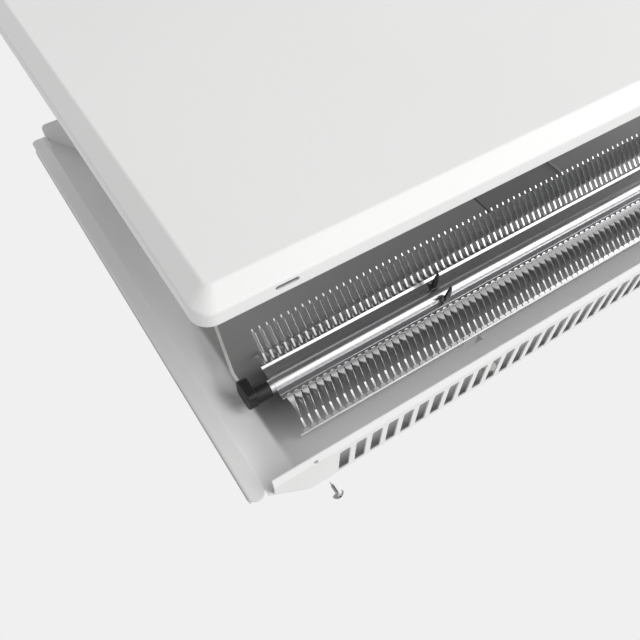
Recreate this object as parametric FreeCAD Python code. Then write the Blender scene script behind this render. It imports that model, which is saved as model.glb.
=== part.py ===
import FreeCAD, Part
import math
import os

# Wall-mounted electric convector heater: a folded back casing hung on a wall bracket, a finned
# heating element across its lower part, and a dished front panel that lifts off to the front.
# The panel and its two retaining screws are stored taken off, the way the heater is shown.
# Millimetres. X runs to the heater's right, Y into the wall, Z up.
# The origin is on the wall plane, at the centre of the bracket's four screw holes.

# Casing
CASING_WIDTH = 725.0
CASING_HEIGHT = 400.0
SHEET = 1.0
WALL_GAP = 27.0
TRAY_DEPTH = 30.4
RAIL_WIDTH = 12.2
RAIL_TOP_DROP = 14.0
RAIL_CORNER = 5.0
SIDE_RUN = 31.0
HEM = 6.0
BEND_RADIUS = 1.2
WALL_REACH = 41.6
BOTTOM_END_INSET = 16.6
TOP_END_INSET = 14.1
TOP_CORNER = 4.0
LIP_BAND = 6.6
LIP_RISE = 2.2
VENT_WIDTH = 8.3
VENT_LENGTH = 27.0
VENT_PITCH = 13.0
VENT_MARGIN = 65.8
VENT_BACK_GAP = 2.2
VENT_CORNER = 1.5
CUT_PAST = 1.0
NEAR = 0.01
RECESS_WIDTH = 92.0
RECESS_HEIGHT = 240.0
RECESS_DEPTH = 3.0

# Front panel
PANEL_INSET = 1.5
PANEL_SEAT_GAP = 0.5
PANEL_FLOOR_GAP = 2.2
PANEL_LIP = 9.0
CHAMFER_WIDTH = 10.5
CHAMFER_DEPTH = 7.0
PANEL_CORNER = 10.0
FACE_CORNER = 4.0
PANEL_EDGE_ROUND = 2.5
PANEL_PULL = 150.0
PANEL_LIFT = 24.4
SLIDE_CLEARANCE = 0.8

# Retaining screws
SCREW_INSET = 47.6
SCREW_SETBACK = 5.2
SCREW_RADIUS = 1.2
SCREW_LENGTH = 8.4
SCREW_POINT = 4.0
SCREW_HEAD_RADIUS = 2.9
SCREW_HEAD_HEIGHT = 2.6
SCREW_FLANGE_RADIUS = 3.9
SCREW_FLANGE_HEIGHT = 1.2
SCREW_DRAW = 24.0
SCREW_CLEARANCE = 0.4
DRIVE_RADIUS = 1.5
DRIVE_DEPTH = 1.4
TAPPING_SLOT_LENGTH = 13.0
TAPPING_SLOT_FIT = 0.1

# Heating element
ELEMENT_STANDOFF = 22.0
ELEMENT_RISE = 70.3
ELEMENT_INSET = 57.0
ROD_RADIUS = 5.2
ROD_FIT = 0.1
ROD_GRIP = 10.0
FIN_SHEET = 0.8
WEB_RISE = 14.9
WEB_DROP = 13.0
WEB_LOW_EDGE = 9.4
FIN_FRONT_REACH = 19.0
FIN_REAR_REACH = 15.5
FIN_TIP_RISE = 37.0
FIN_ROOT_BAND = 2.5
FIN_TIP_STRIP = 3.0
SLAT_PITCH = 6.0
SLAT_THICKNESS = 0.8
SLAT_WIDTH = 4.6
FIN_RIB = 1.4

# Element holders and supports
HOLDER_BAR = 7.8
HOLDER_UP = 11.5
HOLDER_DOWN = 7.5
HOLDER_FRONT = 11.8
HOLDER_BACK = 5.0
HOLDER_STEM = 11.5
HOLDER_STEM_RADIUS = 6.8
HOLDER_ROUND = 4.0
HOLDER_EDGE = 1.2
HOLDER_END_GAP = 3.8
HOLDER_GROOVE = 2.5
HOLDER_FIT = 0.15
TAB_HALF = 3.0
TAB_ROOT = 0.75
PIN_RADIUS = 1.5
SUPPORT_INSET = 204.5
SUPPORT_WIDTH = 24.0
SUPPORT_HALF = 9.0
SUPPORT_FOOT = 9.0
CLIP_WIDTH = 10.0
CLIP_HALF = 9.0
CLIP_BASE = 6.4
PRONG_HEIGHT = 1.8
PRONG_WIDTH = 4.6
PRONG_RISE = 7.6
PRONG_REACH = 17.0
BARB = 1.6
BARB_LENGTH = 4.0
PRONG_FIT = 0.3

# Rivets
RIVET_RADIUS = 1.6
RIVET_HEAD_RADIUS = 3.0
RIVET_HEAD = 1.2
RIVET_HEAD_ROUND = 0.72
RIVET_TAIL_RADIUS = 2.55
RIVET_FIT = 0.1

# Wall bracket
HOOK_SPREAD_X = 300.0
HOOK_MARGIN = 36.6
HOOK_WIDTH = 14.0
HOOK_PLATE = 2.0
HOOK_TIP = 3.0
HOOK_LIFT = 4.0
HOOK_FIT = 0.3
HOOK_SIDE_FIT = 1.5
UPRIGHT_WIDTH = 30.0
CROSSBAR_HEIGHT = 24.0
CROSSBAR_DROP = 12.0
WALL_HOLE_DROP = 23.4
WALL_HOLE_RADIUS = 2.75

# Plugs in the back sheet
PLUG_SPREAD_X = 309.0
PLUG_RISE = 7.5
PLUG_TAIL = 4.0
PLUG_TAIL_RADIUS = 4.0
PLUG_NECK = 3.0
PLUG_HEAD_RADIUS = 4.5
PLUG_HEAD = 3.0
PLUG_FIT = 0.1

# Controls on the top wall, at the right-hand end
CONTROL_INSET = 100.0
CONTROL_LENGTH = 96.0
CONTROL_DEPTH = 24.0
CONTROL_HEIGHT = 38.0
CONTROL_WALL = 2.0
CONTROL_BACK_GAP = 5.0
PLATE_LENGTH = 112.0
PLATE_DEPTH = 32.0
PLATE_THICKNESS = 3.0
PLATE_ROUND = 3.0
WINDOW_MARGIN = 6.0
KNOB_OFFSET = 24.0
KNOB_RADIUS = 12.0
KNOB_HEIGHT = 14.0
KNOB_GAP = 0.5
KNOB_ROUND = 1.6
KNOB_RIBS = 24
KNOB_RIB_RADIUS = 0.9
POINTER_WIDTH = 1.6
POINTER_DEPTH = 0.8
SHAFT_RADIUS = 3.0
SHAFT_FIT = 0.05
SHAFT_DEPTH = 10.0
SHAFT_GRIP = 9.0
THERMOSTAT_LENGTH = 26.0
THERMOSTAT_DEPTH = 17.0
THERMOSTAT_HEIGHT = 24.0
SWITCH_OFFSET = -22.0
SWITCH_LENGTH = 22.0
SWITCH_DEPTH = 14.0
SWITCH_HEIGHT = 22.0
SWITCH_RIM = 1.6
SWITCH_POCKET = 10.0
ROCKER_GAP = 0.5
ROCKER_TILT = 8.0
ROCKER_PROUD = 2.0
PIVOT_RADIUS = 1.2
ROCKER_HEEL = 1.8
PIVOT_FIT = 0.06
LENS_OFFSET = 3.0
LENS_RADIUS = 2.4
LENS_PROUD = 0.8
LENS_ROUND = 0.64
LENS_FIT = 0.1
CONTROL_SCREW_SPREAD = 84.0
CONTROL_SCREW_RADIUS = 1.4
CONTROL_SCREW_LENGTH = 12.0
BOSS_RADIUS = 3.6

# Leads and wiring
LEAD_RADIUS = 1.2
LEAD_BEND = 14.0
LEAD_BEND_SHARE = 0.45
LEAD_STANDOFF = 3.0
LEAD_INSET = 60.0
LEAD_TOP_DROP = 60.0
LEAD_SETTLE = 120.0
LEAD_RISE = 24.0
LEAD_FIT = 0.3
LEAD_TURN_IN = 16.0
ENTRY_DROP = 8.0
SADDLE = 8.0
SADDLE_COVER = 1.4
SADDLE_FIT = 0.15
SADDLE_FIRST = 24.0
SADDLE_LAST = 48.0
BLOCK_LENGTH = 40.0
BLOCK_HEIGHT = 18.0
BLOCK_DEPTH = 15.0
BLOCK_DROP = 90.0
BLOCK_OFFSET = 10.0
BLOCK_WAYS = 3
BLOCK_SCREW_RADIUS = 2.2
BLOCK_SCREW_PROUD = 0.6
BLOCK_FIXING_HEAD_RADIUS = 2.4
GLAND_OFFSET = 56.0
GLAND_RADIUS = 8.0
GLAND_BORE = 3.6
GLAND_INSIDE = 6.0
GLAND_OUTSIDE = 16.0
GLAND_NUT = 5.0
GLAND_NUT_RADIUS = 10.5
EARTH_OFFSET = -36.0
EARTH_RING_RADIUS = 4.2
EARTH_RING = 1.0
EARTH_SCREW_RADIUS = 2.0
EARTH_HEAD_RADIUS = 3.8
EARTH_HEAD = 2.6
EARTH_TAIL = 6.0
CUTOUT_INSET = 130.0
CUTOUT_RISE = 72.0
CUTOUT_RADIUS = 8.0
CUTOUT_HEIGHT = 9.0
CUTOUT_PLATE_LENGTH = 38.0
CUTOUT_PLATE_HEIGHT = 20.0
CUTOUT_TAB = 9.0
CUTOUT_TAB_WIDTH = 5.0
CUTOUT_TAB_SHEET = 0.8
CUTOUT_LEAD_OFFSET = 32.5
CUTOUT_LEAD_RUN = 24.0
CUTOUT_LEAD_SETTLE = 48.0
CUTOUT_LEAD_CROSS = 112.0
CUTOUT_LEAD_DROP = 16.0

# Planes and places that follow from the sizes above
RIGHT = CASING_WIDTH / 2
BOTTOM_Z = -CASING_HEIGHT / 2
TOP_Z = CASING_HEIGHT / 2
BACK_Y = -WALL_GAP
FLOOR_Y = BACK_Y - SHEET
RAIL_Y = FLOOR_Y - TRAY_DEPTH
EDGE_Y = FLOOR_Y - WALL_REACH
FLOOR_INSET = RAIL_WIDTH + SIDE_RUN

LIP_EDGE_Y = RAIL_Y - PANEL_SEAT_GAP
PANEL_BOTTOM_Z = BOTTOM_Z + SHEET + PANEL_FLOOR_GAP
PANEL_TOP_GAP = (LIP_EDGE_Y - EDGE_Y) * PANEL_LIFT / PANEL_PULL + SLIDE_CLEARANCE
PANEL_TOP_Z = TOP_Z - SHEET - PANEL_TOP_GAP
SCREW_Y = LIP_EDGE_Y - SCREW_SETBACK

ELEMENT_Y = FLOOR_Y - ELEMENT_STANDOFF
ELEMENT_Z = BOTTOM_Z + ELEMENT_RISE
ELEMENT_LENGTH = CASING_WIDTH - 2 * ELEMENT_INSET
STEM_INSET = ELEMENT_INSET - HOLDER_END_GAP - HOLDER_STEM
BAR_INSET = STEM_INSET - HOLDER_BAR
BAR_MIDDLE_INSET = STEM_INSET - HOLDER_BAR / 2
TAB_INSET = BAR_MIDDLE_INSET - SHEET / 2
TAB_FRONT_Y = ELEMENT_Y + HOLDER_BACK - HOLDER_GROOVE
TAB_Z = ELEMENT_Z + (HOLDER_UP - HOLDER_DOWN) / 2
SUPPORT_PLATE_Y = ELEMENT_Y + FIN_SHEET + PRONG_FIT + CLIP_BASE

HOOK_RISE = TOP_Z - HOOK_MARGIN
CROSSBAR_RISE = HOOK_RISE - CROSSBAR_DROP
WALL_HOLE_RISE = HOOK_RISE - WALL_HOLE_DROP

CONTROL_X = RIGHT - CONTROL_INSET
CONTROL_Y = FLOOR_Y - CONTROL_BACK_GAP - CONTROL_DEPTH / 2
BOX_TOP_Z = TOP_Z - SHEET
BOX_FLOOR_Z = BOX_TOP_Z - CONTROL_HEIGHT
PLATE_TOP_Z = TOP_Z + PLATE_THICKNESS
KNOB_X = CONTROL_X + KNOB_OFFSET
SWITCH_X = CONTROL_X + SWITCH_OFFSET
LENS_X = CONTROL_X + LENS_OFFSET
WINDOW_LENGTH = CONTROL_LENGTH - 2 * CONTROL_WALL - 2 * WINDOW_MARGIN
WINDOW_DEPTH = CONTROL_DEPTH - 2 * CONTROL_WALL
LEAD_Y = FLOOR_Y - LEAD_STANDOFF - LEAD_RADIUS
LEAD_Z = TOP_Z - LEAD_TOP_DROP
ENTRY_Y = LEAD_Y - CONTROL_BACK_GAP
ENTRY_Z = BOX_FLOOR_Z + 2 * CONTROL_WALL
BLOCK_X = CONTROL_X - BLOCK_OFFSET
BLOCK_Z = TOP_Z - BLOCK_DROP
CUTOUT_X = RIGHT - CUTOUT_INSET
CUTOUT_Z = ELEMENT_Z + CUTOUT_RISE
CUTOUT_FRONT_Y = FLOOR_Y - SHEET - CUTOUT_HEIGHT
CUTOUT_TAB_Y = CUTOUT_FRONT_Y + 2 * CUTOUT_TAB_SHEET
CUTOUT_REACH = CUTOUT_RADIUS + CUTOUT_TAB
CUTOUT_LEAD_X = BLOCK_X + CUTOUT_LEAD_OFFSET


def vec(x, y, z):
    return FreeCAD.Vector(x, y, z)


def box(x0, x1, y0, y1, z0, z1):
    """Box between two corners."""
    return Part.makeBox(x1 - x0, y1 - y0, z1 - z0, vec(x0, y0, z0))


def x_at(side, inset):
    """X of a place measured inwards from the casing's outer edge; side is -1 (left) or 1 (right)."""
    return side * (RIGHT - inset)


def side_box(side, inset0, inset1, y0, y1, z0, z1):
    """Box between two insets from the casing's outer edge."""
    ends = sorted((x_at(side, inset0), x_at(side, inset1)))
    return box(ends[0], ends[1], y0, y1, z0, z1)


def cylinder_x(x0, x1, y, z, radius):
    return Part.makeCylinder(radius, x1 - x0, vec(x0, y, z), vec(1, 0, 0))


def cylinder_y(x, y0, y1, z, radius):
    return Part.makeCylinder(radius, y1 - y0, vec(x, y0, z), vec(0, 1, 0))


def cylinder_z(x, y, z0, z1, radius):
    return Part.makeCylinder(radius, z1 - z0, vec(x, y, z0), vec(0, 0, 1))


def hole_y(x, y0, y1, z, radius):
    """Round cut along Y that runs past both of its ends."""
    return cylinder_y(x, y0 - CUT_PAST, y1 + CUT_PAST, z, radius)


def hole_z(x, y, z0, z1, radius):
    """Round cut along Z that runs past both of its ends."""
    return cylinder_z(x, y, z0 - CUT_PAST, z1 + CUT_PAST, radius)


def prism(points, direction):
    """Closed outline of points, extruded along a vector."""
    wire = Part.makePolygon(list(points) + [points[0]])
    return Part.Face(wire).extrude(direction)


def fused(shapes):
    """All shapes joined into one, with the seams between flat faces removed."""
    return shapes[0].multiFuse(shapes[1:]).removeSplitter()


def both_sides(make):
    """The shape that make(side) gives, for the left and the right."""
    return [make(-1), make(1)]


def save(name, shape):
    shape.exportStep("parts/" + name + ".step")


def round_edges(shape, radius, keep):
    """Fillet every edge for which keep(edge) is true."""
    edges = [edge for edge in shape.Edges if keep(edge)]
    return shape.makeFillet(radius, edges)


def along(edge, axis):
    """True if a straight edge runs along the axis ('x', 'y' or 'z')."""
    if len(edge.Vertexes) < 2 or not isinstance(edge.Curve, Part.Line):
        return False
    run = edge.Vertexes[1].Point - edge.Vertexes[0].Point
    return abs(getattr(run, axis)) > 0.999 * run.Length


def rounded_rectangle(x0, x1, z0, z1, radius, y):
    """Closed wire in a plane of constant y, with the four corners rounded."""
    diagonal = radius * (1 - math.sqrt(0.5))
    corners = [
        (vec(x1 - radius, y, z0), vec(x1 - diagonal, y, z0 + diagonal), vec(x1, y, z0 + radius)),
        (vec(x1, y, z1 - radius), vec(x1 - diagonal, y, z1 - diagonal), vec(x1 - radius, y, z1)),
        (vec(x0 + radius, y, z1), vec(x0 + diagonal, y, z1 - diagonal), vec(x0, y, z1 - radius)),
        (vec(x0, y, z0 + radius), vec(x0 + diagonal, y, z0 + diagonal), vec(x0 + radius, y, z0)),
    ]
    edges = []
    start = corners[-1][2]
    for first, middle, last in corners:
        edges.append(Part.LineSegment(start, first).toShape())
        edges.append(Part.Arc(first, middle, last).toShape())
        start = last
    return Part.Wire(edges)


def slot_x(x, y, length, width, z0, z1):
    """Oblong through-cut along X, with round ends."""
    half = length / 2 - width / 2
    bar = box(x - half, x + half, y - width / 2, y + width / 2, z0, z1)
    ends = [cylinder_z(x + side * half, y, z0, z1, width / 2) for side in (-1, 1)]
    return bar.multiFuse(ends)


def offset_path(points, distance):
    """Open path in the XY plane moved sideways to its left, with mitred corners."""
    moved = []
    for index, (x, y) in enumerate(points):
        normals = []
        for first, second in ((index - 1, index), (index, index + 1)):
            if first < 0 or second >= len(points):
                continue
            run = (points[second][0] - points[first][0], points[second][1] - points[first][1])
            length = math.hypot(run[0], run[1])
            normals.append((-run[1] / length, run[0] / length))
        sum_x = sum(normal[0] for normal in normals)
        sum_y = sum(normal[1] for normal in normals)
        scale = distance / (sum_x * normals[0][0] + sum_y * normals[0][1])
        moved.append((x + sum_x * scale, y + sum_y * scale))
    return moved


def rivet_places():
    """X and Z of every rivet through the back sheet."""
    places = []
    for side in (-1, 1):
        for out in (-1, 1):
            offset = out * (SUPPORT_WIDTH / 2 + SUPPORT_FOOT / 2)
            places.append((x_at(side, SUPPORT_INSET) + offset, ELEMENT_Z))
    for out in (-1, 1):
        offset = out * (CUTOUT_RADIUS + CUTOUT_PLATE_LENGTH / 2) / 2
        places.append((CUTOUT_X + offset, CUTOUT_Z))
    return places


def tray():
    """Folded section of the back casing: hems, rails, sloping sides and back sheet."""
    left_half = [
        (-RIGHT, RAIL_Y + HEM),
        (-RIGHT, RAIL_Y),
        (-RIGHT + RAIL_WIDTH, RAIL_Y),
        (-RIGHT + FLOOR_INSET, FLOOR_Y),
    ]
    front = left_half + [(-x, y) for x, y in reversed(left_half)]
    back = offset_path(front, SHEET)
    outline = [vec(x, y, BOTTOM_Z) for x, y in front + back[::-1]]
    body = prism(outline, vec(0, 0, CASING_HEIGHT))

    def at_bend(bends):
        return lambda edge: along(edge, "z") and any(
            abs(edge.CenterOfMass.x - x) < NEAR and abs(edge.CenterOfMass.y - y) < NEAR for x, y in bends)

    outer_bends = [front[1], front[2], back[3], back[4], front[5], front[6]]
    inner_bends = [back[1], back[2], front[3], front[4], back[5], back[6]]
    body = round_edges(body, BEND_RADIUS + SHEET, at_bend(outer_bends))
    return round_edges(body, BEND_RADIUS, at_bend(inner_bends))


def slope_y(inset):
    """Y of a sloping side's front face at a distance from the casing's outer edge."""
    return RAIL_Y + (inset - RAIL_WIDTH) * TRAY_DEPTH / SIDE_RUN


def rail_end_cuts(side):
    """What is cut off one rail: round at the bottom, square below the top corner."""
    radius = RAIL_WIDTH / 2
    behind = RAIL_Y + HEM + SHEET
    before = RAIL_Y - CUT_PAST
    bottom = side_box(side, -CUT_PAST, RAIL_WIDTH, before, behind, BOTTOM_Z - CUT_PAST, BOTTOM_Z + radius)
    middle = cylinder_y(x_at(side, radius), before, behind, BOTTOM_Z + radius, radius)
    top = side_box(side, -CUT_PAST, RAIL_WIDTH, before, behind, TOP_Z - RAIL_TOP_DROP, TOP_Z + CUT_PAST)
    return [bottom.cut(middle), top]


def corner_tab(side):
    """Ear behind the top end of a rail, with a round outer corner."""
    lap = HEM / 2
    tab = side_box(side, SHEET, TOP_END_INSET + SHEET, RAIL_Y + SHEET, RAIL_Y + 2 * SHEET,
                   TOP_Z - RAIL_TOP_DROP - lap, TOP_Z)
    corner_x = x_at(side, SHEET)
    return round_edges(tab, RAIL_CORNER, lambda edge: along(edge, "y")
                       and abs(edge.CenterOfMass.x - corner_x) < NEAR and edge.CenterOfMass.z > TOP_Z - NEAR)


def end_wall(z0, end_inset, front_y):
    """Flat bottom or top wall of the casing, following the sloping sides at its back."""
    half = [
        (-RIGHT + end_inset, front_y),
        (-RIGHT + end_inset, slope_y(end_inset) + SHEET / 2),
        (-RIGHT + FLOOR_INSET, FLOOR_Y + SHEET / 2),
    ]
    points = [vec(x, y, z0) for x, y in half + [(-x, y) for x, y in reversed(half)]]
    return prism(points, vec(0, 0, SHEET))


def vents(z0, last_x):
    """Row of air slots through a bottom or top wall, up to a given X."""
    count = int((CASING_WIDTH - 2 * VENT_MARGIN - VENT_WIDTH) / VENT_PITCH) + 1
    first_x = -(count - 1) * VENT_PITCH / 2
    back = FLOOR_Y - VENT_BACK_GAP
    slots = []
    for index in range(count):
        x = first_x + index * VENT_PITCH
        if x + VENT_WIDTH / 2 > last_x:
            break
        slot = box(x - VENT_WIDTH / 2, x + VENT_WIDTH / 2, back - VENT_LENGTH, back,
                   z0 - CUT_PAST, z0 + SHEET + CUT_PAST)
        slots.append(round_edges(slot, VENT_CORNER, lambda edge: along(edge, "z")))
    return slots


def lip_band():
    """Front edge of the bottom wall, bent up a little along its whole length."""
    start = EDGE_Y + LIP_BAND
    points = [
        vec(-RIGHT + BOTTOM_END_INSET, start, BOTTOM_Z),
        vec(-RIGHT + BOTTOM_END_INSET, EDGE_Y, BOTTOM_Z + LIP_RISE),
        vec(-RIGHT + BOTTOM_END_INSET, EDGE_Y, BOTTOM_Z + LIP_RISE + SHEET),
        vec(-RIGHT + BOTTOM_END_INSET, start, BOTTOM_Z + SHEET),
    ]
    return prism(points, vec(2 * (RIGHT - BOTTOM_END_INSET), 0, 0))


def top_wall():
    wall = end_wall(TOP_Z - SHEET, TOP_END_INSET, EDGE_Y)
    front = EDGE_Y + NEAR
    return round_edges(wall, TOP_CORNER, lambda edge: along(edge, "z") and edge.CenterOfMass.y < front)


def holder_tab(side):
    """Tab standing on a sloping side, behind the cross-bar of the end holder that it carries."""
    root_y = slope_y(BAR_MIDDLE_INSET) + TAB_ROOT
    return side_box(side, TAB_INSET, TAB_INSET + SHEET, TAB_FRONT_Y, root_y,
                    TAB_Z - TAB_HALF, TAB_Z + TAB_HALF)


def recess():
    """Shallow pressing in the middle of the back sheet, open to the front: its shell and its hollow."""
    half = RECESS_WIDTH / 2
    tall = RECESS_HEIGHT / 2
    shell = box(-half - SHEET, half + SHEET, BACK_Y - SHEET, BACK_Y + RECESS_DEPTH,
                -tall - SHEET, tall + SHEET)
    hollow = box(-half, half, FLOOR_Y - CUT_PAST, BACK_Y + RECESS_DEPTH - SHEET, -tall, tall)
    return shell, hollow


def hook_slots():
    """Slots in the back sheet for the bracket's four hooks: the upper edge rests on the hook."""
    half = HOOK_WIDTH / 2 + HOOK_SIDE_FIT
    slots = []
    for x in (-HOOK_SPREAD_X / 2, HOOK_SPREAD_X / 2):
        for z in (-HOOK_RISE, HOOK_RISE):
            low = z - HOOK_PLATE - HOOK_LIFT - HOOK_FIT
            slots.append(box(x - half, x + half, FLOOR_Y - CUT_PAST, BACK_Y + CUT_PAST, low, z))
    return slots


def back_sheet_holes():
    """Round holes in the back sheet: rivets, plugs, cable gland and earth screw."""
    holes = []
    for x, z in rivet_places():
        holes.append(hole_y(x, FLOOR_Y, BACK_Y, z, RIVET_RADIUS + RIVET_FIT))
    for side in (-1, 1):
        holes.append(hole_y(side * PLUG_SPREAD_X / 2, FLOOR_Y, BACK_Y,
                                BOTTOM_Z + PLUG_RISE, PLUG_NECK + PLUG_FIT))
    for x in block_fixings():
        holes.append(hole_y(x, FLOOR_Y, BACK_Y, BLOCK_Z, RIVET_RADIUS + RIVET_FIT))
    holes.append(hole_y(BLOCK_X + GLAND_OFFSET, FLOOR_Y, BACK_Y, BLOCK_Z, GLAND_RADIUS + RIVET_FIT))
    holes.append(hole_y(BLOCK_X + EARTH_OFFSET, FLOOR_Y, BACK_Y, BLOCK_Z,
                            EARTH_SCREW_RADIUS + RIVET_FIT))
    return holes


def back_casing():
    body = tray()
    for side in (-1, 1):
        body = body.cut(rail_end_cuts(side))
    shell, hollow = recess()
    bottom = end_wall(BOTTOM_Z, BOTTOM_END_INSET, EDGE_Y + LIP_BAND)
    body = fused([body, bottom, lip_band(), top_wall(), shell]
                 + both_sides(corner_tab) + both_sides(holder_tab))
    screw_holes = []
    for side in (-1, 1):
        x = x_at(side, SCREW_INSET)
        radius = SCREW_RADIUS + SCREW_CLEARANCE
        screw_holes.append(hole_z(x, SCREW_Y, BOTTOM_Z, BOTTOM_Z + LIP_RISE + SHEET, radius))
        x = CONTROL_X + side * CONTROL_SCREW_SPREAD / 2
        screw_holes.append(hole_z(x, CONTROL_Y, BOX_TOP_Z, TOP_Z, CONTROL_SCREW_RADIUS + RIVET_FIT))
    window = box(CONTROL_X - WINDOW_LENGTH / 2, CONTROL_X + WINDOW_LENGTH / 2,
                 CONTROL_Y - WINDOW_DEPTH / 2, CONTROL_Y + WINDOW_DEPTH / 2,
                 BOX_TOP_Z - CUT_PAST, TOP_Z + CUT_PAST)
    cuts = [hollow, window] + screw_holes + hook_slots() + back_sheet_holes()
    cuts += vents(BOTTOM_Z, RIGHT)
    cuts += vents(TOP_Z - SHEET, CONTROL_X - PLATE_LENGTH / 2 - VENT_PITCH / 2)
    return body.cut(cuts)


def dish(inner):
    """Solid of the panel's outside, or of the hollow inside it, in the closed place."""
    slant = math.hypot(CHAMFER_WIDTH, CHAMFER_DEPTH)
    gap = SHEET if inner else 0.0
    lip = PANEL_LIP - gap * CHAMFER_WIDTH / slant
    lip += gap * (1 - CHAMFER_DEPTH / slant) * CHAMFER_DEPTH / CHAMFER_WIDTH
    face_run = PANEL_LIP + CHAMFER_DEPTH - gap
    face_in = gap + (face_run - lip) * CHAMFER_WIDTH / CHAMFER_DEPTH
    edge_y = LIP_EDGE_Y + gap
    x = RIGHT - PANEL_INSET
    wires = []
    for inset, y, radius in ((gap, edge_y, PANEL_CORNER - gap), (gap, LIP_EDGE_Y - lip, PANEL_CORNER - gap),
                             (face_in, LIP_EDGE_Y - face_run, FACE_CORNER)):
        wires.append(rounded_rectangle(-x + inset, x - inset, PANEL_BOTTOM_Z + inset, PANEL_TOP_Z - inset,
                                       radius, y))
    lip_part = Part.makeLoft(wires[:2], True, True)
    slope_part = Part.makeLoft(wires[1:], True, True)
    body = lip_part.fuse(slope_part).removeSplitter()
    fold_y = LIP_EDGE_Y - lip
    face_y = LIP_EDGE_Y - face_run
    radius = PANEL_EDGE_ROUND - gap / 2

    def at_fold(edge):
        ends = [vertex.Point.y for vertex in edge.Vertexes]
        return any(all(abs(y - level) < NEAR for y in ends) for level in (fold_y, face_y))

    return round_edges(body, radius, at_fold)


def front_panel():
    """Dished front panel, stored lifted off to the front and a little up."""
    panel = dish(False).cut(dish(True))
    width = 2 * (SCREW_RADIUS + TAPPING_SLOT_FIT)
    slots = [slot_x(x_at(side, SCREW_INSET), SCREW_Y, TAPPING_SLOT_LENGTH, width,
                    PANEL_BOTTOM_Z - CUT_PAST, PANEL_BOTTOM_Z + SHEET + CUT_PAST) for side in (-1, 1)]
    panel = panel.cut(slots)
    panel.translate(vec(0, -PANEL_PULL, PANEL_LIFT))
    return panel


def retaining_screw(side):
    """Flanged pan-head screw, stored drawn out below its hole in the bottom wall."""
    x = x_at(side, SCREW_INSET)
    seat = BOTTOM_Z - SCREW_DRAW
    shank = cylinder_z(x, SCREW_Y, seat, seat + SCREW_LENGTH - SCREW_POINT, SCREW_RADIUS)
    point = Part.makeCone(SCREW_RADIUS, SCREW_RADIUS / 6, SCREW_POINT,
                          vec(x, SCREW_Y, seat + SCREW_LENGTH - SCREW_POINT), vec(0, 0, 1))
    flange = cylinder_z(x, SCREW_Y, seat - SCREW_FLANGE_HEIGHT, seat, SCREW_FLANGE_RADIUS)
    low = seat - SCREW_FLANGE_HEIGHT - SCREW_HEAD_HEIGHT
    head = cylinder_z(x, SCREW_Y, low, seat - SCREW_FLANGE_HEIGHT, SCREW_HEAD_RADIUS)
    head = round_edges(head, SCREW_HEAD_HEIGHT / 3, lambda edge: edge.CenterOfMass.z < low + NEAR)
    drive = cylinder_z(x, SCREW_Y, low - CUT_PAST, low + DRIVE_DEPTH, DRIVE_RADIUS)
    cross = box(x - DRIVE_RADIUS, x + DRIVE_RADIUS, SCREW_Y - DRIVE_RADIUS / 4, SCREW_Y + DRIVE_RADIUS / 4,
                low - CUT_PAST, low + DRIVE_DEPTH)
    turned = cross.copy()
    turned.rotate(vec(x, SCREW_Y, 0), vec(0, 0, 1), 90)
    drive = drive.common(cross.fuse(turned))
    return fused([shank, point, flange, head]).cut(drive)


def flange_frame(up, front):
    """Fold point, direction along the flange, normal and length of one of the fin flanges."""
    facing = -1 if front else 1
    reach = FIN_FRONT_REACH if front else FIN_REAR_REACH
    fold_z = ELEMENT_Z + WEB_RISE if up > 0 else ELEMENT_Z - WEB_DROP
    fold = vec(0, ELEMENT_Y + facing * FIN_SHEET / 2, fold_z)
    tip = vec(0, ELEMENT_Y + facing * reach, ELEMENT_Z + up * FIN_TIP_RISE)
    run = tip - fold
    direction = vec(0, run.y / run.Length, run.z / run.Length)
    normal = vec(0, direction.z, -direction.y)
    return fold, direction, normal, run.Length


def flange_plate(fold, direction, normal, start, stop, x0, x1, thickness):
    """Flat piece of a flange, from one distance to another along it, centred on its mid plane."""
    plate = Part.makeBox(x1 - x0, thickness, stop - start)
    corner = fold + direction * start - normal * (thickness / 2) + vec(x0, 0, 0)
    turn = FreeCAD.Rotation(vec(1, 0, 0), normal, direction, "XYZ")
    plate.Placement = FreeCAD.Placement(corner, turn)
    return plate


def louvre_ladder(fold, direction, normal, start, stop):
    """Row of upright louvre slats between two ribs: a plate with one window between each two slats."""
    half = ELEMENT_LENGTH / 2
    base = fold - normal * (SLAT_WIDTH / 2)

    def window(x0, x1, s0, s1):
        corners = [base + vec(x, 0, 0) + direction * s for x, s in ((x0, s0), (x1, s0), (x1, s1), (x0, s1))]
        return Part.makePolygon(corners + [corners[0]])

    count = int((ELEMENT_LENGTH - SLAT_THICKNESS) / SLAT_PITCH)
    first = -count * SLAT_PITCH / 2
    wires = [window(-half, half, start, stop)]
    for index in range(count):
        x = first + index * SLAT_PITCH
        wires.append(window(x + SLAT_THICKNESS / 2, x + SLAT_PITCH - SLAT_THICKNESS / 2,
                            start + FIN_RIB, stop - FIN_RIB))
    return Part.Face(wires).extrude(normal * SLAT_WIDTH)


def fin_flange(up, front):
    """One flange: a plain root band, a row of louvres and a tip strip."""
    fold, direction, normal, length = flange_frame(up, front)
    half = ELEMENT_LENGTH / 2
    slat_end = length - FIN_TIP_STRIP
    return [
        flange_plate(fold, direction, normal, 0, FIN_ROOT_BAND, -half, half, FIN_SHEET),
        louvre_ladder(fold, direction, normal, FIN_ROOT_BAND, slat_end),
        flange_plate(fold, direction, normal, slat_end, length, -half, half, FIN_SHEET),
        cylinder_x(-half, half, fold.y, fold.z, FIN_SHEET / 2),
    ]


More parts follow.
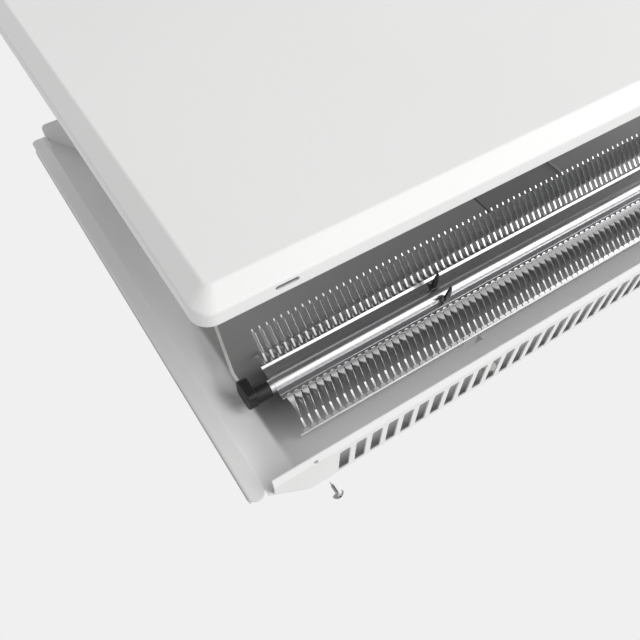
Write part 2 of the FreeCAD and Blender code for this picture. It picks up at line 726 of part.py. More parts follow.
def fin_sheet(front):
    """Pressed aluminium sheet: half of the web round the rod, with an upper flange.
    The rear sheet has a lower flange too; the front one ends in a plain lower edge."""
    half = ELEMENT_LENGTH / 2
    facing = -1 if front else 1
    y0, y1 = sorted((ELEMENT_Y, ELEMENT_Y + facing * FIN_SHEET))
    web_low = WEB_LOW_EDGE if front else WEB_DROP
    web = box(-half, half, y0, y1, ELEMENT_Z - web_low, ELEMENT_Z + WEB_RISE)
    inner = ROD_RADIUS + ROD_FIT
    bulge = cylinder_x(-half, half, ELEMENT_Y, ELEMENT_Z, inner + FIN_SHEET)
    deep = 2 * inner
    y0, y1 = sorted((ELEMENT_Y, ELEMENT_Y + facing * deep))
    bulge = bulge.common(box(-half, half, y0, y1, ELEMENT_Z - deep, ELEMENT_Z + deep))
    flanges = fin_flange(1, front)
    if not front:
        flanges += fin_flange(-1, front)
    sheet = web.multiFuse([bulge] + flanges)
    cuts = [cylinder_x(-half - CUT_PAST, half + CUT_PAST, ELEMENT_Y, ELEMENT_Z, inner)]
    wide = PRONG_WIDTH / 2 + PRONG_FIT
    tall = PRONG_HEIGHT / 2 + PRONG_FIT
    for side in (-1, 1):
        x = x_at(side, SUPPORT_INSET)
        for up in (-1, 1):
            z = ELEMENT_Z + up * PRONG_RISE
            cuts.append(box(x - wide, x + wide, ELEMENT_Y - 2 * FIN_SHEET, ELEMENT_Y + 2 * FIN_SHEET,
                            z - tall, z + tall))
    return sheet.cut(cuts)


def heating_rod():
    half = RIGHT - STEM_INSET - HOLDER_STEM + ROD_GRIP
    return cylinder_x(-half, half, ELEMENT_Y, ELEMENT_Z, ROD_RADIUS)


def lead_well(side):
    """Passage in an end holder for the terminal pin and the lead that leaves at the top."""
    x = x_at(side, BAR_MIDDLE_INSET)
    ends = sorted((x, x_at(side, STEM_INSET + HOLDER_STEM - ROD_GRIP)))
    level = cylinder_x(ends[0], ends[1], ELEMENT_Y, ELEMENT_Z, PIN_RADIUS + LEAD_FIT)
    upright = cylinder_z(x, ELEMENT_Y, ELEMENT_Z, ELEMENT_Z + HOLDER_UP + CUT_PAST, LEAD_RADIUS + LEAD_FIT)
    return [level, upright]


def end_holder(side):
    """T-shaped insulator: a socket for the rod's end and a cross-bar with a groove for the casing's tab."""
    bar = side_box(side, BAR_INSET, STEM_INSET, ELEMENT_Y - HOLDER_FRONT, ELEMENT_Y + HOLDER_BACK,
                   ELEMENT_Z - HOLDER_DOWN, ELEMENT_Z + HOLDER_UP)
    bar = round_edges(bar, HOLDER_ROUND, lambda edge: along(edge, "x"))
    bar = round_edges(bar, HOLDER_EDGE, lambda edge: not along(edge, "x"))
    ends = sorted((x_at(side, STEM_INSET - HOLDER_BAR / 2), x_at(side, STEM_INSET + HOLDER_STEM)))
    stem = cylinder_x(ends[0], ends[1], ELEMENT_Y, ELEMENT_Z, HOLDER_STEM_RADIUS)
    body = fused([bar, stem])
    socket = sorted((x_at(side, STEM_INSET + HOLDER_STEM - ROD_GRIP), x_at(side, ELEMENT_INSET + CUT_PAST)))
    cuts = [cylinder_x(socket[0], socket[1], ELEMENT_Y, ELEMENT_Z, ROD_RADIUS + ROD_FIT)]
    cuts.append(side_box(side, TAB_INSET - HOLDER_FIT, TAB_INSET + SHEET + HOLDER_FIT,
                         TAB_FRONT_Y - HOLDER_FIT, FLOOR_Y,
                         TAB_Z - TAB_HALF - HOLDER_FIT, TAB_Z + TAB_HALF + HOLDER_FIT))
    return body.cut(cuts + lead_well(side))


def terminal_pin(side):
    """Steel pin from the rod's end into the cross-bar, where the lead is crimped to it."""
    ends = sorted((x_at(side, STEM_INSET + HOLDER_STEM - ROD_GRIP), x_at(side, BAR_MIDDLE_INSET + LEAD_FIT)))
    return cylinder_x(ends[0], ends[1], ELEMENT_Y, ELEMENT_Z, PIN_RADIUS)


def mid_support(side):
    """Steel bracket behind the element, riveted to the back sheet by two feet."""
    x = x_at(side, SUPPORT_INSET)
    half = SUPPORT_WIDTH / 2
    low = ELEMENT_Z - SUPPORT_HALF
    high = ELEMENT_Z + SUPPORT_HALF
    plate = box(x - half, x + half, SUPPORT_PLATE_Y, SUPPORT_PLATE_Y + SHEET, low, high)
    pieces = [plate]
    for out in (-1, 1):
        edge = sorted((x + out * half, x + out * (half - SHEET)))
        pieces.append(box(edge[0], edge[1], SUPPORT_PLATE_Y, FLOOR_Y, low, high))
        foot = sorted((x + out * (half - SHEET), x + out * (half + SUPPORT_FOOT)))
        pieces.append(box(foot[0], foot[1], FLOOR_Y - SHEET, FLOOR_Y, low, high))
    holes = [hole_y(rivet_x, FLOOR_Y - SHEET, FLOOR_Y, rivet_z, RIVET_RADIUS + RIVET_FIT)
             for rivet_x, rivet_z in rivet_places()]
    return fused(pieces).cut(holes)


def support_clip(side):
    """Black insulating clip on the support: two barbed prongs reach through the web past the rod."""
    x = x_at(side, SUPPORT_INSET)
    base_y = ELEMENT_Y + FIN_SHEET + PRONG_FIT
    base = box(x - CLIP_WIDTH / 2, x + CLIP_WIDTH / 2, base_y, SUPPORT_PLATE_Y,
               ELEMENT_Z - CLIP_HALF, ELEMENT_Z + CLIP_HALF)
    groove = cylinder_x(x - CLIP_WIDTH, x + CLIP_WIDTH, ELEMENT_Y, ELEMENT_Z,
                        ROD_RADIUS + ROD_FIT + FIN_SHEET + PRONG_FIT)
    pieces = [base.cut(groove)]
    front_y = ELEMENT_Y - PRONG_REACH
    for up in (-1, 1):
        middle = ELEMENT_Z + up * PRONG_RISE
        inner = middle - up * PRONG_HEIGHT / 2
        outer = middle + up * PRONG_HEIGHT / 2
        barb_y = front_y + BARB_LENGTH
        left = x - PRONG_WIDTH / 2
        outline = [
            vec(left, base_y + CUT_PAST, inner),
            vec(left, front_y + BARB / 2, inner),
            vec(left, front_y, middle),
            vec(left, barb_y, outer + up * BARB),
            vec(left, barb_y, outer),
            vec(left, base_y + CUT_PAST, outer),
        ]
        pieces.append(prism(outline, vec(PRONG_WIDTH, 0, 0)))
    return fused(pieces)


def rivets(places):
    """Rivets that hold feet to the back sheet, each a separate solid."""
    solids = []
    head_y = FLOOR_Y - SHEET
    for x, z in places:
        shank = cylinder_y(x, head_y - RIVET_HEAD, BACK_Y + RIVET_HEAD, z, RIVET_RADIUS)
        head = cylinder_y(x, head_y - RIVET_HEAD, head_y, z, RIVET_HEAD_RADIUS)
        front = head_y - RIVET_HEAD + NEAR
        head = round_edges(head, RIVET_HEAD_ROUND, lambda edge: edge.CenterOfMass.y < front)
        tail = cylinder_y(x, BACK_Y, BACK_Y + RIVET_HEAD, z, RIVET_TAIL_RADIUS)
        solids.append(fused([shank, head, tail]))
    return Part.makeCompound(solids)


def wall_bracket():
    """Steel frame screwed to the wall, with four upturned hooks that carry the heater."""
    wide = HOOK_SPREAD_X / 2
    pieces = []
    holes = []
    for side in (-1, 1):
        x = side * wide
        pieces.append(box(x - UPRIGHT_WIDTH / 2, x + UPRIGHT_WIDTH / 2, -HOOK_PLATE, 0,
                          -HOOK_RISE - HOOK_PLATE, HOOK_RISE))
        for z in (-HOOK_RISE, HOOK_RISE):
            tip_y = FLOOR_Y - HOOK_FIT
            left = x - HOOK_WIDTH / 2
            pieces.append(box(left, left + HOOK_WIDTH, tip_y - HOOK_PLATE, 0, z - HOOK_PLATE, z))
            pieces.append(box(left, left + HOOK_WIDTH, tip_y - HOOK_PLATE, tip_y,
                              z - HOOK_PLATE, z + HOOK_TIP))
        for z in (-WALL_HOLE_RISE, WALL_HOLE_RISE):
            holes.append(hole_y(x, -HOOK_PLATE, 0, z, WALL_HOLE_RADIUS))
    for z in (-CROSSBAR_RISE, CROSSBAR_RISE):
        pieces.append(box(-wide, wide, -HOOK_PLATE, 0, z - CROSSBAR_HEIGHT / 2, z + CROSSBAR_HEIGHT / 2))
    return fused(pieces).cut(holes)


def back_plug(side):
    """White plug pushed through the back sheet by its lower edge; its head shows inside the casing."""
    x = side * PLUG_SPREAD_X / 2
    z = BOTTOM_Z + PLUG_RISE
    tail = cylinder_y(x, BACK_Y, BACK_Y + PLUG_TAIL, z, PLUG_TAIL_RADIUS)
    neck = cylinder_y(x, FLOOR_Y, BACK_Y, z, PLUG_NECK)
    head = cylinder_y(x, FLOOR_Y - PLUG_HEAD, FLOOR_Y, z, PLUG_HEAD_RADIUS)
    head = round_edges(head, PLUG_HEAD / 3, lambda edge: edge.CenterOfMass.y < FLOOR_Y - PLUG_HEAD + NEAR)
    return fused([tail, neck, head])


def control_box():
    """Open-topped plastic box under the top wall, with screw bosses and lead entries."""
    half = CONTROL_LENGTH / 2
    deep = CONTROL_DEPTH / 2
    shell = box(CONTROL_X - half, CONTROL_X + half, CONTROL_Y - deep, CONTROL_Y + deep,
                BOX_FLOOR_Z, BOX_TOP_Z)
    hollow = box(CONTROL_X - half + CONTROL_WALL, CONTROL_X + half - CONTROL_WALL,
                 CONTROL_Y - deep + CONTROL_WALL, CONTROL_Y + deep - CONTROL_WALL,
                 BOX_FLOOR_Z + CONTROL_WALL, BOX_TOP_Z + CUT_PAST)
    shell = shell.cut(hollow)
    holes = []
    bosses = []
    for side in (-1, 1):
        x = CONTROL_X + side * CONTROL_SCREW_SPREAD / 2
        boss = cylinder_z(x, CONTROL_Y, BOX_FLOOR_Z, BOX_TOP_Z, BOSS_RADIUS)
        bosses.append(boss)
        holes.append(cylinder_z(x, CONTROL_Y, BOX_TOP_Z - CONTROL_SCREW_LENGTH, BOX_TOP_Z + CUT_PAST,
                                CONTROL_SCREW_RADIUS + RIVET_FIT))
    entry = LEAD_RADIUS + LEAD_FIT
    for x in block_way_places() + [CUTOUT_LEAD_X]:
        holes.append(hole_z(x, ENTRY_Y, BOX_FLOOR_Z, BOX_FLOOR_Z + CONTROL_WALL, entry))
    return fused([shell] + bosses).cut(holes)


def control_plate():
    """Plastic plate on the top wall that carries the knob, the rocker switch and the lamp lens."""
    plate = box(CONTROL_X - PLATE_LENGTH / 2, CONTROL_X + PLATE_LENGTH / 2,
                CONTROL_Y - PLATE_DEPTH / 2, CONTROL_Y + PLATE_DEPTH / 2, TOP_Z, PLATE_TOP_Z)
    plate = round_edges(plate, PLATE_ROUND, lambda edge: along(edge, "z"))
    plate = round_edges(plate, PLATE_THICKNESS / 3, lambda edge: edge.CenterOfMass.z > PLATE_TOP_Z - NEAR)
    cuts = [
        hole_z(KNOB_X, CONTROL_Y, TOP_Z, PLATE_TOP_Z, SHAFT_RADIUS + KNOB_GAP),
        hole_z(LENS_X, CONTROL_Y, TOP_Z, PLATE_TOP_Z, LENS_RADIUS + LENS_FIT),
        box(SWITCH_X - SWITCH_LENGTH / 2 - LENS_FIT, SWITCH_X + SWITCH_LENGTH / 2 + LENS_FIT,
            CONTROL_Y - SWITCH_DEPTH / 2 - LENS_FIT, CONTROL_Y + SWITCH_DEPTH / 2 + LENS_FIT,
            TOP_Z - CUT_PAST, PLATE_TOP_Z + CUT_PAST),
    ]
    for side in (-1, 1):
        x = CONTROL_X + side * CONTROL_SCREW_SPREAD / 2
        cuts.append(hole_z(x, CONTROL_Y, TOP_Z, PLATE_TOP_Z, CONTROL_SCREW_RADIUS + RIVET_FIT))
    return plate.cut(cuts)


def control_screws():
    """Two screws through the plate and the top wall into the box's bosses."""
    solids = []
    for side in (-1, 1):
        x = CONTROL_X + side * CONTROL_SCREW_SPREAD / 2
        tip = BOX_TOP_Z - CONTROL_SCREW_LENGTH + CUT_PAST
        shank = cylinder_z(x, CONTROL_Y, tip, PLATE_TOP_Z, CONTROL_SCREW_RADIUS)
        top = PLATE_TOP_Z + SCREW_HEAD_HEIGHT / 2
        head = cylinder_z(x, CONTROL_Y, PLATE_TOP_Z, top, SCREW_HEAD_RADIUS)
        head = round_edges(head, SCREW_HEAD_HEIGHT / 4, lambda edge: edge.CenterOfMass.z > top - NEAR)
        solids.append(fused([shank, head]))
    return Part.makeCompound(solids)


def thermostat_body():
    """Thermostat under the plate, with a bore for the knob's shaft."""
    body = box(KNOB_X - THERMOSTAT_LENGTH / 2, KNOB_X + THERMOSTAT_LENGTH / 2,
               CONTROL_Y - THERMOSTAT_DEPTH / 2, CONTROL_Y + THERMOSTAT_DEPTH / 2,
               TOP_Z - THERMOSTAT_HEIGHT, TOP_Z)
    bore = cylinder_z(KNOB_X, CONTROL_Y, TOP_Z - SHAFT_DEPTH - SHAFT_FIT, TOP_Z + CUT_PAST,
                      SHAFT_RADIUS + SHAFT_FIT)
    return body.cut(bore)


def knob_shaft():
    """Steel shaft of the thermostat, turning with the knob."""
    top = PLATE_TOP_Z + KNOB_GAP + SHAFT_GRIP
    return cylinder_z(KNOB_X, CONTROL_Y, TOP_Z - SHAFT_DEPTH, top, SHAFT_RADIUS)


def thermostat_knob():
    """Ribbed knob pressed on the shaft, with a pointer groove."""
    low = PLATE_TOP_Z + KNOB_GAP
    top = low + KNOB_HEIGHT
    body = cylinder_z(KNOB_X, CONTROL_Y, low, top, KNOB_RADIUS)
    body = round_edges(body, KNOB_ROUND, lambda edge: edge.CenterOfMass.z > top - NEAR)
    cuts = [cylinder_z(KNOB_X, CONTROL_Y, low - CUT_PAST, low + SHAFT_GRIP, SHAFT_RADIUS)]
    for index in range(KNOB_RIBS):
        angle = 2 * math.pi * index / KNOB_RIBS
        x = KNOB_X + KNOB_RADIUS * math.cos(angle)
        y = CONTROL_Y + KNOB_RADIUS * math.sin(angle)
        cuts.append(hole_z(x, y, low, top, KNOB_RIB_RADIUS))
    cuts.append(box(KNOB_X - POINTER_WIDTH / 2, KNOB_X + POINTER_WIDTH / 2,
                    CONTROL_Y - KNOB_RADIUS - CUT_PAST, CONTROL_Y - KNOB_RADIUS / 3,
                    top - POINTER_DEPTH, top + CUT_PAST))
    return body.cut(cuts)


def switch_body():
    """Body of the rocker switch: a pocket for the rocker with a bore for its pivots."""
    half = SWITCH_LENGTH / 2
    deep = SWITCH_DEPTH / 2
    body = box(SWITCH_X - half, SWITCH_X + half, CONTROL_Y - deep, CONTROL_Y + deep,
               TOP_Z - SWITCH_HEIGHT, PLATE_TOP_Z)
    pocket = box(SWITCH_X - half + SWITCH_RIM, SWITCH_X + half - SWITCH_RIM,
                 CONTROL_Y - deep + SWITCH_RIM, CONTROL_Y + deep - SWITCH_RIM,
                 PLATE_TOP_Z - SWITCH_POCKET, PLATE_TOP_Z + CUT_PAST)
    pivots = hole_y(SWITCH_X, CONTROL_Y - deep, CONTROL_Y + deep, pivot_z(), PIVOT_RADIUS + PIVOT_FIT)
    return body.cut([pocket, pivots])


def pivot_z():
    return PLATE_TOP_Z - SWITCH_POCKET / 2


def rocker():
    """Rocker on two side pivots, stored with its left end pressed down."""
    length = SWITCH_LENGTH / 2 - SWITCH_RIM - 2 * ROCKER_GAP
    deep = SWITCH_DEPTH / 2 - SWITCH_RIM - ROCKER_GAP / 2
    tilt = math.tan(math.radians(ROCKER_TILT))
    middle_top = PLATE_TOP_Z + ROCKER_PROUD / 2
    low = pivot_z() - ROCKER_HEEL
    outline = [
        vec(-length, -deep, middle_top - pivot_z() + length * tilt),
        vec(0, -deep, middle_top - pivot_z()),
        vec(length, -deep, middle_top - pivot_z() + length * tilt),
        vec(length, -deep, ROCKER_GAP),
        vec(length / 3, -deep, low - pivot_z()),
        vec(-length / 3, -deep, low - pivot_z()),
        vec(-length, -deep, ROCKER_GAP),
    ]
    body = prism(outline, vec(0, 2 * deep, 0))
    pivots = cylinder_y(0, -SWITCH_DEPTH / 2, SWITCH_DEPTH / 2, 0, PIVOT_RADIUS)
    body = body.fuse(pivots)
    body.rotate(vec(0, 0, 0), vec(0, 1, 0), -ROCKER_TILT)
    body.translate(vec(SWITCH_X, CONTROL_Y, pivot_z()))
    return body


def indicator_lens():
    """Lamp lens in the plate, with a collar under it."""
    stem = cylinder_z(LENS_X, CONTROL_Y, TOP_Z, PLATE_TOP_Z + LENS_PROUD, LENS_RADIUS)
    stem = round_edges(stem, LENS_ROUND, lambda edge: edge.CenterOfMass.z > PLATE_TOP_Z + LENS_PROUD - NEAR)
    collar = cylinder_z(LENS_X, CONTROL_Y, TOP_Z - SHEET, TOP_Z, LENS_RADIUS + SHEET)
    return fused([stem, collar])


def rounded_path(points, radius):
    """Wire of straight runs joined by tangent arcs, through a list of points."""
    edges = []
    start = points[0]
    for before, corner, after in zip(points, points[1:], points[2:]):
        incoming = (corner - before).normalize()
        outgoing = (after - corner).normalize()
        turn = incoming.getAngle(outgoing)
        room = LEAD_BEND_SHARE * min((corner - before).Length, (after - corner).Length)
        trim = min(radius * math.tan(turn / 2), room)
        bend = trim / math.tan(turn / 2)
        first = corner - incoming * trim
        last = corner + outgoing * trim
        inward = (outgoing - incoming).normalize()
        centre = corner + inward * (bend / math.cos(turn / 2))
        middle = centre - inward * bend
        edges.append(Part.LineSegment(start, first).toShape())
        edges.append(Part.Arc(first, middle, last).toShape())
        start = last
    edges.append(Part.LineSegment(start, points[-1]).toShape())
    return Part.Wire(edges)


def lead(points):
    """Round insulated wire along a path of points."""
    path = rounded_path(points, LEAD_BEND)
    tangent = (points[1] - points[0]).normalize()
    ring = Part.Wire(Part.makeCircle(LEAD_RADIUS, points[0], tangent))
    wire = path.makePipeShell([ring], True, False)
    ideal = math.pi * LEAD_RADIUS ** 2 * path.Length
    print("lead", round(path.Length, 1), "mm long, volume ratio", round(wire.Volume / ideal, 4))
    return wire


def left_lead_points():
    """From the left end holder up the side of the back sheet and across to the control box."""
    x = x_at(-1, BAR_MIDDLE_INSET)
    side_x = x_at(-1, LEAD_INSET)
    entry_x = block_way_places()[0]
    return [
        vec(x, ELEMENT_Y, ELEMENT_Z + PIN_RADIUS + LEAD_FIT),
        vec(x, ELEMENT_Y, ELEMENT_Z + LEAD_RISE),
        vec(side_x, LEAD_Y, ELEMENT_Z + LEAD_SETTLE),
        vec(side_x, LEAD_Y, LEAD_Z),
        vec(entry_x - LEAD_TURN_IN, LEAD_Y, LEAD_Z),
        vec(entry_x, ENTRY_Y, BOX_FLOOR_Z - ENTRY_DROP),
        vec(entry_x, ENTRY_Y, ENTRY_Z),
    ]


def right_lead_points():
    """From the right end holder to the near tab of the thermal cut-out."""
    x = x_at(1, BAR_MIDDLE_INSET)
    return [
        vec(x, ELEMENT_Y, ELEMENT_Z + PIN_RADIUS + LEAD_FIT),
        vec(x, ELEMENT_Y, ELEMENT_Z + LEAD_RISE),
        vec((x + CUTOUT_X) / 2, CUTOUT_TAB_Y, CUTOUT_Z),
        vec(CUTOUT_X + CUTOUT_REACH, CUTOUT_TAB_Y, CUTOUT_Z),
    ]


def cutout_lead_points():
    """From the far tab of the thermal cut-out up to the control box."""
    tab_x = CUTOUT_X - CUTOUT_REACH
    return [
        vec(tab_x, CUTOUT_TAB_Y, CUTOUT_Z),
        vec(tab_x - CUTOUT_LEAD_RUN, CUTOUT_TAB_Y, CUTOUT_Z),
        vec(tab_x - CUTOUT_LEAD_RUN, LEAD_Y, CUTOUT_Z + CUTOUT_LEAD_SETTLE),
        vec(CUTOUT_LEAD_X, LEAD_Y, CUTOUT_Z + CUTOUT_LEAD_CROSS),
        vec(CUTOUT_LEAD_X, ENTRY_Y, BOX_FLOOR_Z - CUTOUT_LEAD_DROP),
        vec(CUTOUT_LEAD_X, ENTRY_Y, ENTRY_Z),
    ]


def block_lead(way):
    """Straight lead from the terminal block up into the control box."""
    return cylinder_z(block_way_places()[way], ENTRY_Y, BLOCK_Z + BLOCK_HEIGHT / 2, ENTRY_Z, LEAD_RADIUS)


def lead_saddles():
    """Plastic saddles that hold the left lead on the back sheet, each a separate solid."""
    side_x = x_at(-1, LEAD_INSET)
    upright = [ELEMENT_Z + LEAD_SETTLE + SADDLE_FIRST, LEAD_Z - SADDLE_LAST]
    level = [side_x + SADDLE_LAST, -RECESS_WIDTH, RECESS_WIDTH]
    places = [(side_x, z) for z in upright] + [(x, LEAD_Z) for x in level]
    front = LEAD_Y - LEAD_RADIUS - SADDLE_COVER
    path = rounded_path(left_lead_points(), LEAD_BEND)
    bore = Part.Wire(Part.makeCircle(LEAD_RADIUS + SADDLE_FIT, left_lead_points()[0], vec(0, 0, 1)))
    tunnel = path.makePipeShell([bore], True, False)
    solids = []
    for x, z in places:
        block = box(x - SADDLE / 2, x + SADDLE / 2, front, FLOOR_Y, z - SADDLE / 2, z + SADDLE / 2)
        block = round_edges(block, SADDLE_COVER, lambda edge: edge.CenterOfMass.y < front + NEAR)
        solids.append(block.cut(tunnel))
    return Part.makeCompound(solids)


def block_fixings():
    """X of the two screws that hold the terminal block on the back sheet."""
    return [BLOCK_X + side * (BLOCK_LENGTH / 2 - 2 * RIVET_RADIUS) for side in (-1, 1)]


def terminal_block():
    """Insulating block with a clamp screw well over each way, screwed to the back sheet."""
    front = FLOOR_Y - BLOCK_DEPTH
    block = box(BLOCK_X - BLOCK_LENGTH / 2, BLOCK_X + BLOCK_LENGTH / 2, front, FLOOR_Y,
                BLOCK_Z - BLOCK_HEIGHT / 2, BLOCK_Z + BLOCK_HEIGHT / 2)
    block = round_edges(block, BLOCK_SCREW_PROUD, lambda edge: edge.CenterOfMass.y < front + NEAR)
    well = BLOCK_SCREW_RADIUS + RIVET_FIT
    cuts = [cylinder_y(x, front - CUT_PAST, front + BLOCK_SCREW_RADIUS, BLOCK_Z, well)
            for x in block_way_places()]
    cuts += [hole_y(x, front, FLOOR_Y, BLOCK_Z, RIVET_RADIUS + RIVET_FIT) for x in block_fixings()]
    return block.cut(cuts)


def terminal_screws():
    """Clamp screws of the terminal block and the two screws that hold it, each a separate solid."""
    front = FLOOR_Y - BLOCK_DEPTH
    solids = []
    for x in block_way_places():
        screw = cylinder_y(x, front - BLOCK_SCREW_PROUD, front + BLOCK_SCREW_RADIUS, BLOCK_Z,
                           BLOCK_SCREW_RADIUS)
        slit = box(x - BLOCK_SCREW_RADIUS, x + BLOCK_SCREW_RADIUS, front - BLOCK_SCREW_PROUD - CUT_PAST,
                   front, BLOCK_Z - BLOCK_SCREW_PROUD / 2, BLOCK_Z + BLOCK_SCREW_PROUD / 2)
        solids.append(screw.cut(slit))
    for x in block_fixings():
        shank = cylinder_y(x, front, BACK_Y + EARTH_TAIL / 2, BLOCK_Z, RIVET_RADIUS)
        head = cylinder_y(x, front - RIVET_HEAD, front, BLOCK_Z, BLOCK_FIXING_HEAD_RADIUS)
        solids.append(fused([shank, head]))
    return Part.makeCompound(solids)


def cable_gland():
    """Gland for the mains cable: a body through the back sheet with a collar outside."""
    x = BLOCK_X + GLAND_OFFSET
    body = cylinder_y(x, FLOOR_Y - GLAND_INSIDE, BACK_Y + GLAND_OUTSIDE, BLOCK_Z, GLAND_RADIUS)
    collar = cylinder_y(x, BACK_Y, BACK_Y + GLAND_OUTSIDE / 2, BLOCK_Z, GLAND_NUT_RADIUS)
    bore = hole_y(x, FLOOR_Y - GLAND_INSIDE, BACK_Y + GLAND_OUTSIDE, BLOCK_Z, GLAND_BORE)
    body = fused([body, collar])
    outer = BACK_Y + GLAND_OUTSIDE
    body = round_edges(body, GLAND_BORE / 3, lambda edge: edge.CenterOfMass.y > outer - NEAR)
    return body.cut(bore)


def gland_nut():
    """Hexagonal nut that holds the gland from inside."""
    x = BLOCK_X + GLAND_OFFSET
    corners = [vec(x + GLAND_NUT_RADIUS * math.cos(math.pi * k / 3), FLOOR_Y - GLAND_NUT,
                   BLOCK_Z + GLAND_NUT_RADIUS * math.sin(math.pi * k / 3)) for k in range(6)]
    nut = prism(corners, vec(0, GLAND_NUT, 0))
    return nut.cut(hole_y(x, FLOOR_Y - GLAND_NUT, FLOOR_Y, BLOCK_Z, GLAND_RADIUS + RIVET_FIT))


def earth_screw():
    """Screw with a hexagonal head that clamps the earth ring to the back sheet."""
    x = BLOCK_X + EARTH_OFFSET
    seat = FLOOR_Y - EARTH_RING
    shank = cylinder_y(x, seat, BACK_Y + EARTH_TAIL, BLOCK_Z, EARTH_SCREW_RADIUS)
    corners = [vec(x + EARTH_HEAD_RADIUS * math.cos(math.pi * k / 3), seat - EARTH_HEAD,
                   BLOCK_Z + EARTH_HEAD_RADIUS * math.sin(math.pi * k / 3)) for k in range(6)]
    return fused([shank, prism(corners, vec(0, EARTH_HEAD, 0))])


def earth_lead():
    """Short earth lead from the terminal block to a ring under the earth screw."""
    x = BLOCK_X + EARTH_OFFSET
    seat = FLOOR_Y - EARTH_RING
    ring = cylinder_y(x, seat, FLOOR_Y, BLOCK_Z, EARTH_RING_RADIUS)
    wire_y = FLOOR_Y - LEAD_RADIUS - LEAD_FIT
    wire_start = x + EARTH_RING_RADIUS - EARTH_RING
    wire = cylinder_x(wire_start, BLOCK_X - BLOCK_LENGTH / 2, wire_y, BLOCK_Z, LEAD_RADIUS)
    hole = hole_y(x, seat, FLOOR_Y, BLOCK_Z, EARTH_SCREW_RADIUS + RIVET_FIT)
    head_room = cylinder_y(x, seat - EARTH_HEAD, seat, BLOCK_Z, EARTH_HEAD_RADIUS + RIVET_FIT)
    return fused([ring, wire]).cut([hole, head_room])


def cutout_plate():
    """Mounting plate of the thermal cut-out, riveted to the back sheet above the element."""
    plate = box(CUTOUT_X - CUTOUT_PLATE_LENGTH / 2, CUTOUT_X + CUTOUT_PLATE_LENGTH / 2,
                FLOOR_Y - SHEET, FLOOR_Y,
                CUTOUT_Z - CUTOUT_PLATE_HEIGHT / 2, CUTOUT_Z + CUTOUT_PLATE_HEIGHT / 2)
    plate = round_edges(plate, CUTOUT_PLATE_HEIGHT / 4, lambda edge: along(edge, "y"))
    holes = [hole_y(x, FLOOR_Y - SHEET, FLOOR_Y, z, RIVET_RADIUS + RIVET_FIT) for x, z in rivet_places()]
    return plate.cut(holes)


def thermal_cutout():
    """Disc-type thermal cut-out with a spade tab on either side."""
    disc = cylinder_y(CUTOUT_X, CUTOUT_FRONT_Y, FLOOR_Y - SHEET, CUTOUT_Z, CUTOUT_RADIUS)
    front = CUTOUT_FRONT_Y
    disc = round_edges(disc, CUTOUT_TAB_SHEET, lambda edge: edge.CenterOfMass.y < front + NEAR)
    tab = box(CUTOUT_X - CUTOUT_REACH, CUTOUT_X + CUTOUT_REACH,
              CUTOUT_TAB_Y - CUTOUT_TAB_SHEET / 2, CUTOUT_TAB_Y + CUTOUT_TAB_SHEET / 2,
              CUTOUT_Z - CUTOUT_TAB_WIDTH / 2, CUTOUT_Z + CUTOUT_TAB_WIDTH / 2)
    return fused([disc, tab])


def block_way_places():
    """X of the lead entries in the control box, one above each way of the terminal block."""
    step = BLOCK_LENGTH / (BLOCK_WAYS + 1)
    return [BLOCK_X - BLOCK_LENGTH / 2 + step * (index + 1) for index in range(BLOCK_WAYS)]


os.makedirs("parts", exist_ok=True)
save("wall_bracket", wall_bracket())
save("back_casing", back_casing())
save("front_panel", front_panel())
for name, side in (("left", -1), ("right", 1)):
    save("retaining_screw_" + name, retaining_screw(side))
    save("back_plug_" + name, back_plug(side))
    save("element_end_holder_" + name, end_holder(side))
    save("terminal_pin_" + name, terminal_pin(side))
    save("element_support_" + name, mid_support(side))
    save("support_clip_" + name, support_clip(side))
save("heating_rod", heating_rod())
save("front_fin_sheet", fin_sheet(True))
save("rear_fin_sheet", fin_sheet(False))
save("control_box", control_box())
save("control_plate", control_plate())
save("control_screws", control_screws())
save("thermostat_body", thermostat_body())
save("knob_shaft", knob_shaft())
save("thermostat_knob", thermostat_knob())
save("switch_body", switch_body())
save("switch_rocker", rocker())
save("indicator_lens", indicator_lens())
save("rivets", rivets(rivet_places()))
save("left_element_lead", lead(left_lead_points()))
save("right_element_lead", lead(right_lead_points()))
save("cutout_lead", lead(cutout_lead_points()))
save("lead_saddles", lead_saddles())
save("line_lead", block_lead(1))
save("neutral_lead", block_lead(2))
save("terminal_block", terminal_block())
save("terminal_screws", terminal_screws())
save("cable_gland", cable_gland())
save("gland_nut", gland_nut())
save("earth_screw", earth_screw())
save("earth_lead", earth_lead())
save("cutout_plate", cutout_plate())
save("thermal_cutout", thermal_cutout())
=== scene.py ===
import math

import bpy
from mathutils import Matrix, Vector


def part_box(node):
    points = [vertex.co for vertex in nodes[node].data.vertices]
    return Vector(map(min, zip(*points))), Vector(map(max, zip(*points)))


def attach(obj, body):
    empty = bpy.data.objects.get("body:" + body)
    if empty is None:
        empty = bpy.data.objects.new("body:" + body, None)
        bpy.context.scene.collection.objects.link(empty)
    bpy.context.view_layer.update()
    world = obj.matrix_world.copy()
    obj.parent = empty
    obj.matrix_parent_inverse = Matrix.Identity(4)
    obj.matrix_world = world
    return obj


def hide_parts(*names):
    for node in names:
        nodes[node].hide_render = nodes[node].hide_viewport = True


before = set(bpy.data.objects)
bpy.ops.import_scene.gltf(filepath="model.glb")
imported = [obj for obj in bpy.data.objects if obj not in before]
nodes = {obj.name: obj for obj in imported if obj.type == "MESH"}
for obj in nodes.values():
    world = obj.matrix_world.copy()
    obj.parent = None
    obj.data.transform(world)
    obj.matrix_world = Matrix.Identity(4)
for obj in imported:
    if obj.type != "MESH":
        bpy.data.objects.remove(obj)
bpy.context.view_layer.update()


# Wall bracket: a frame of 2 mm strip steel, punched and folded, with four upturned hooks.
# It is screwed flat on the wall and sprayed with thin matt grey paint, a little uneven in gloss.

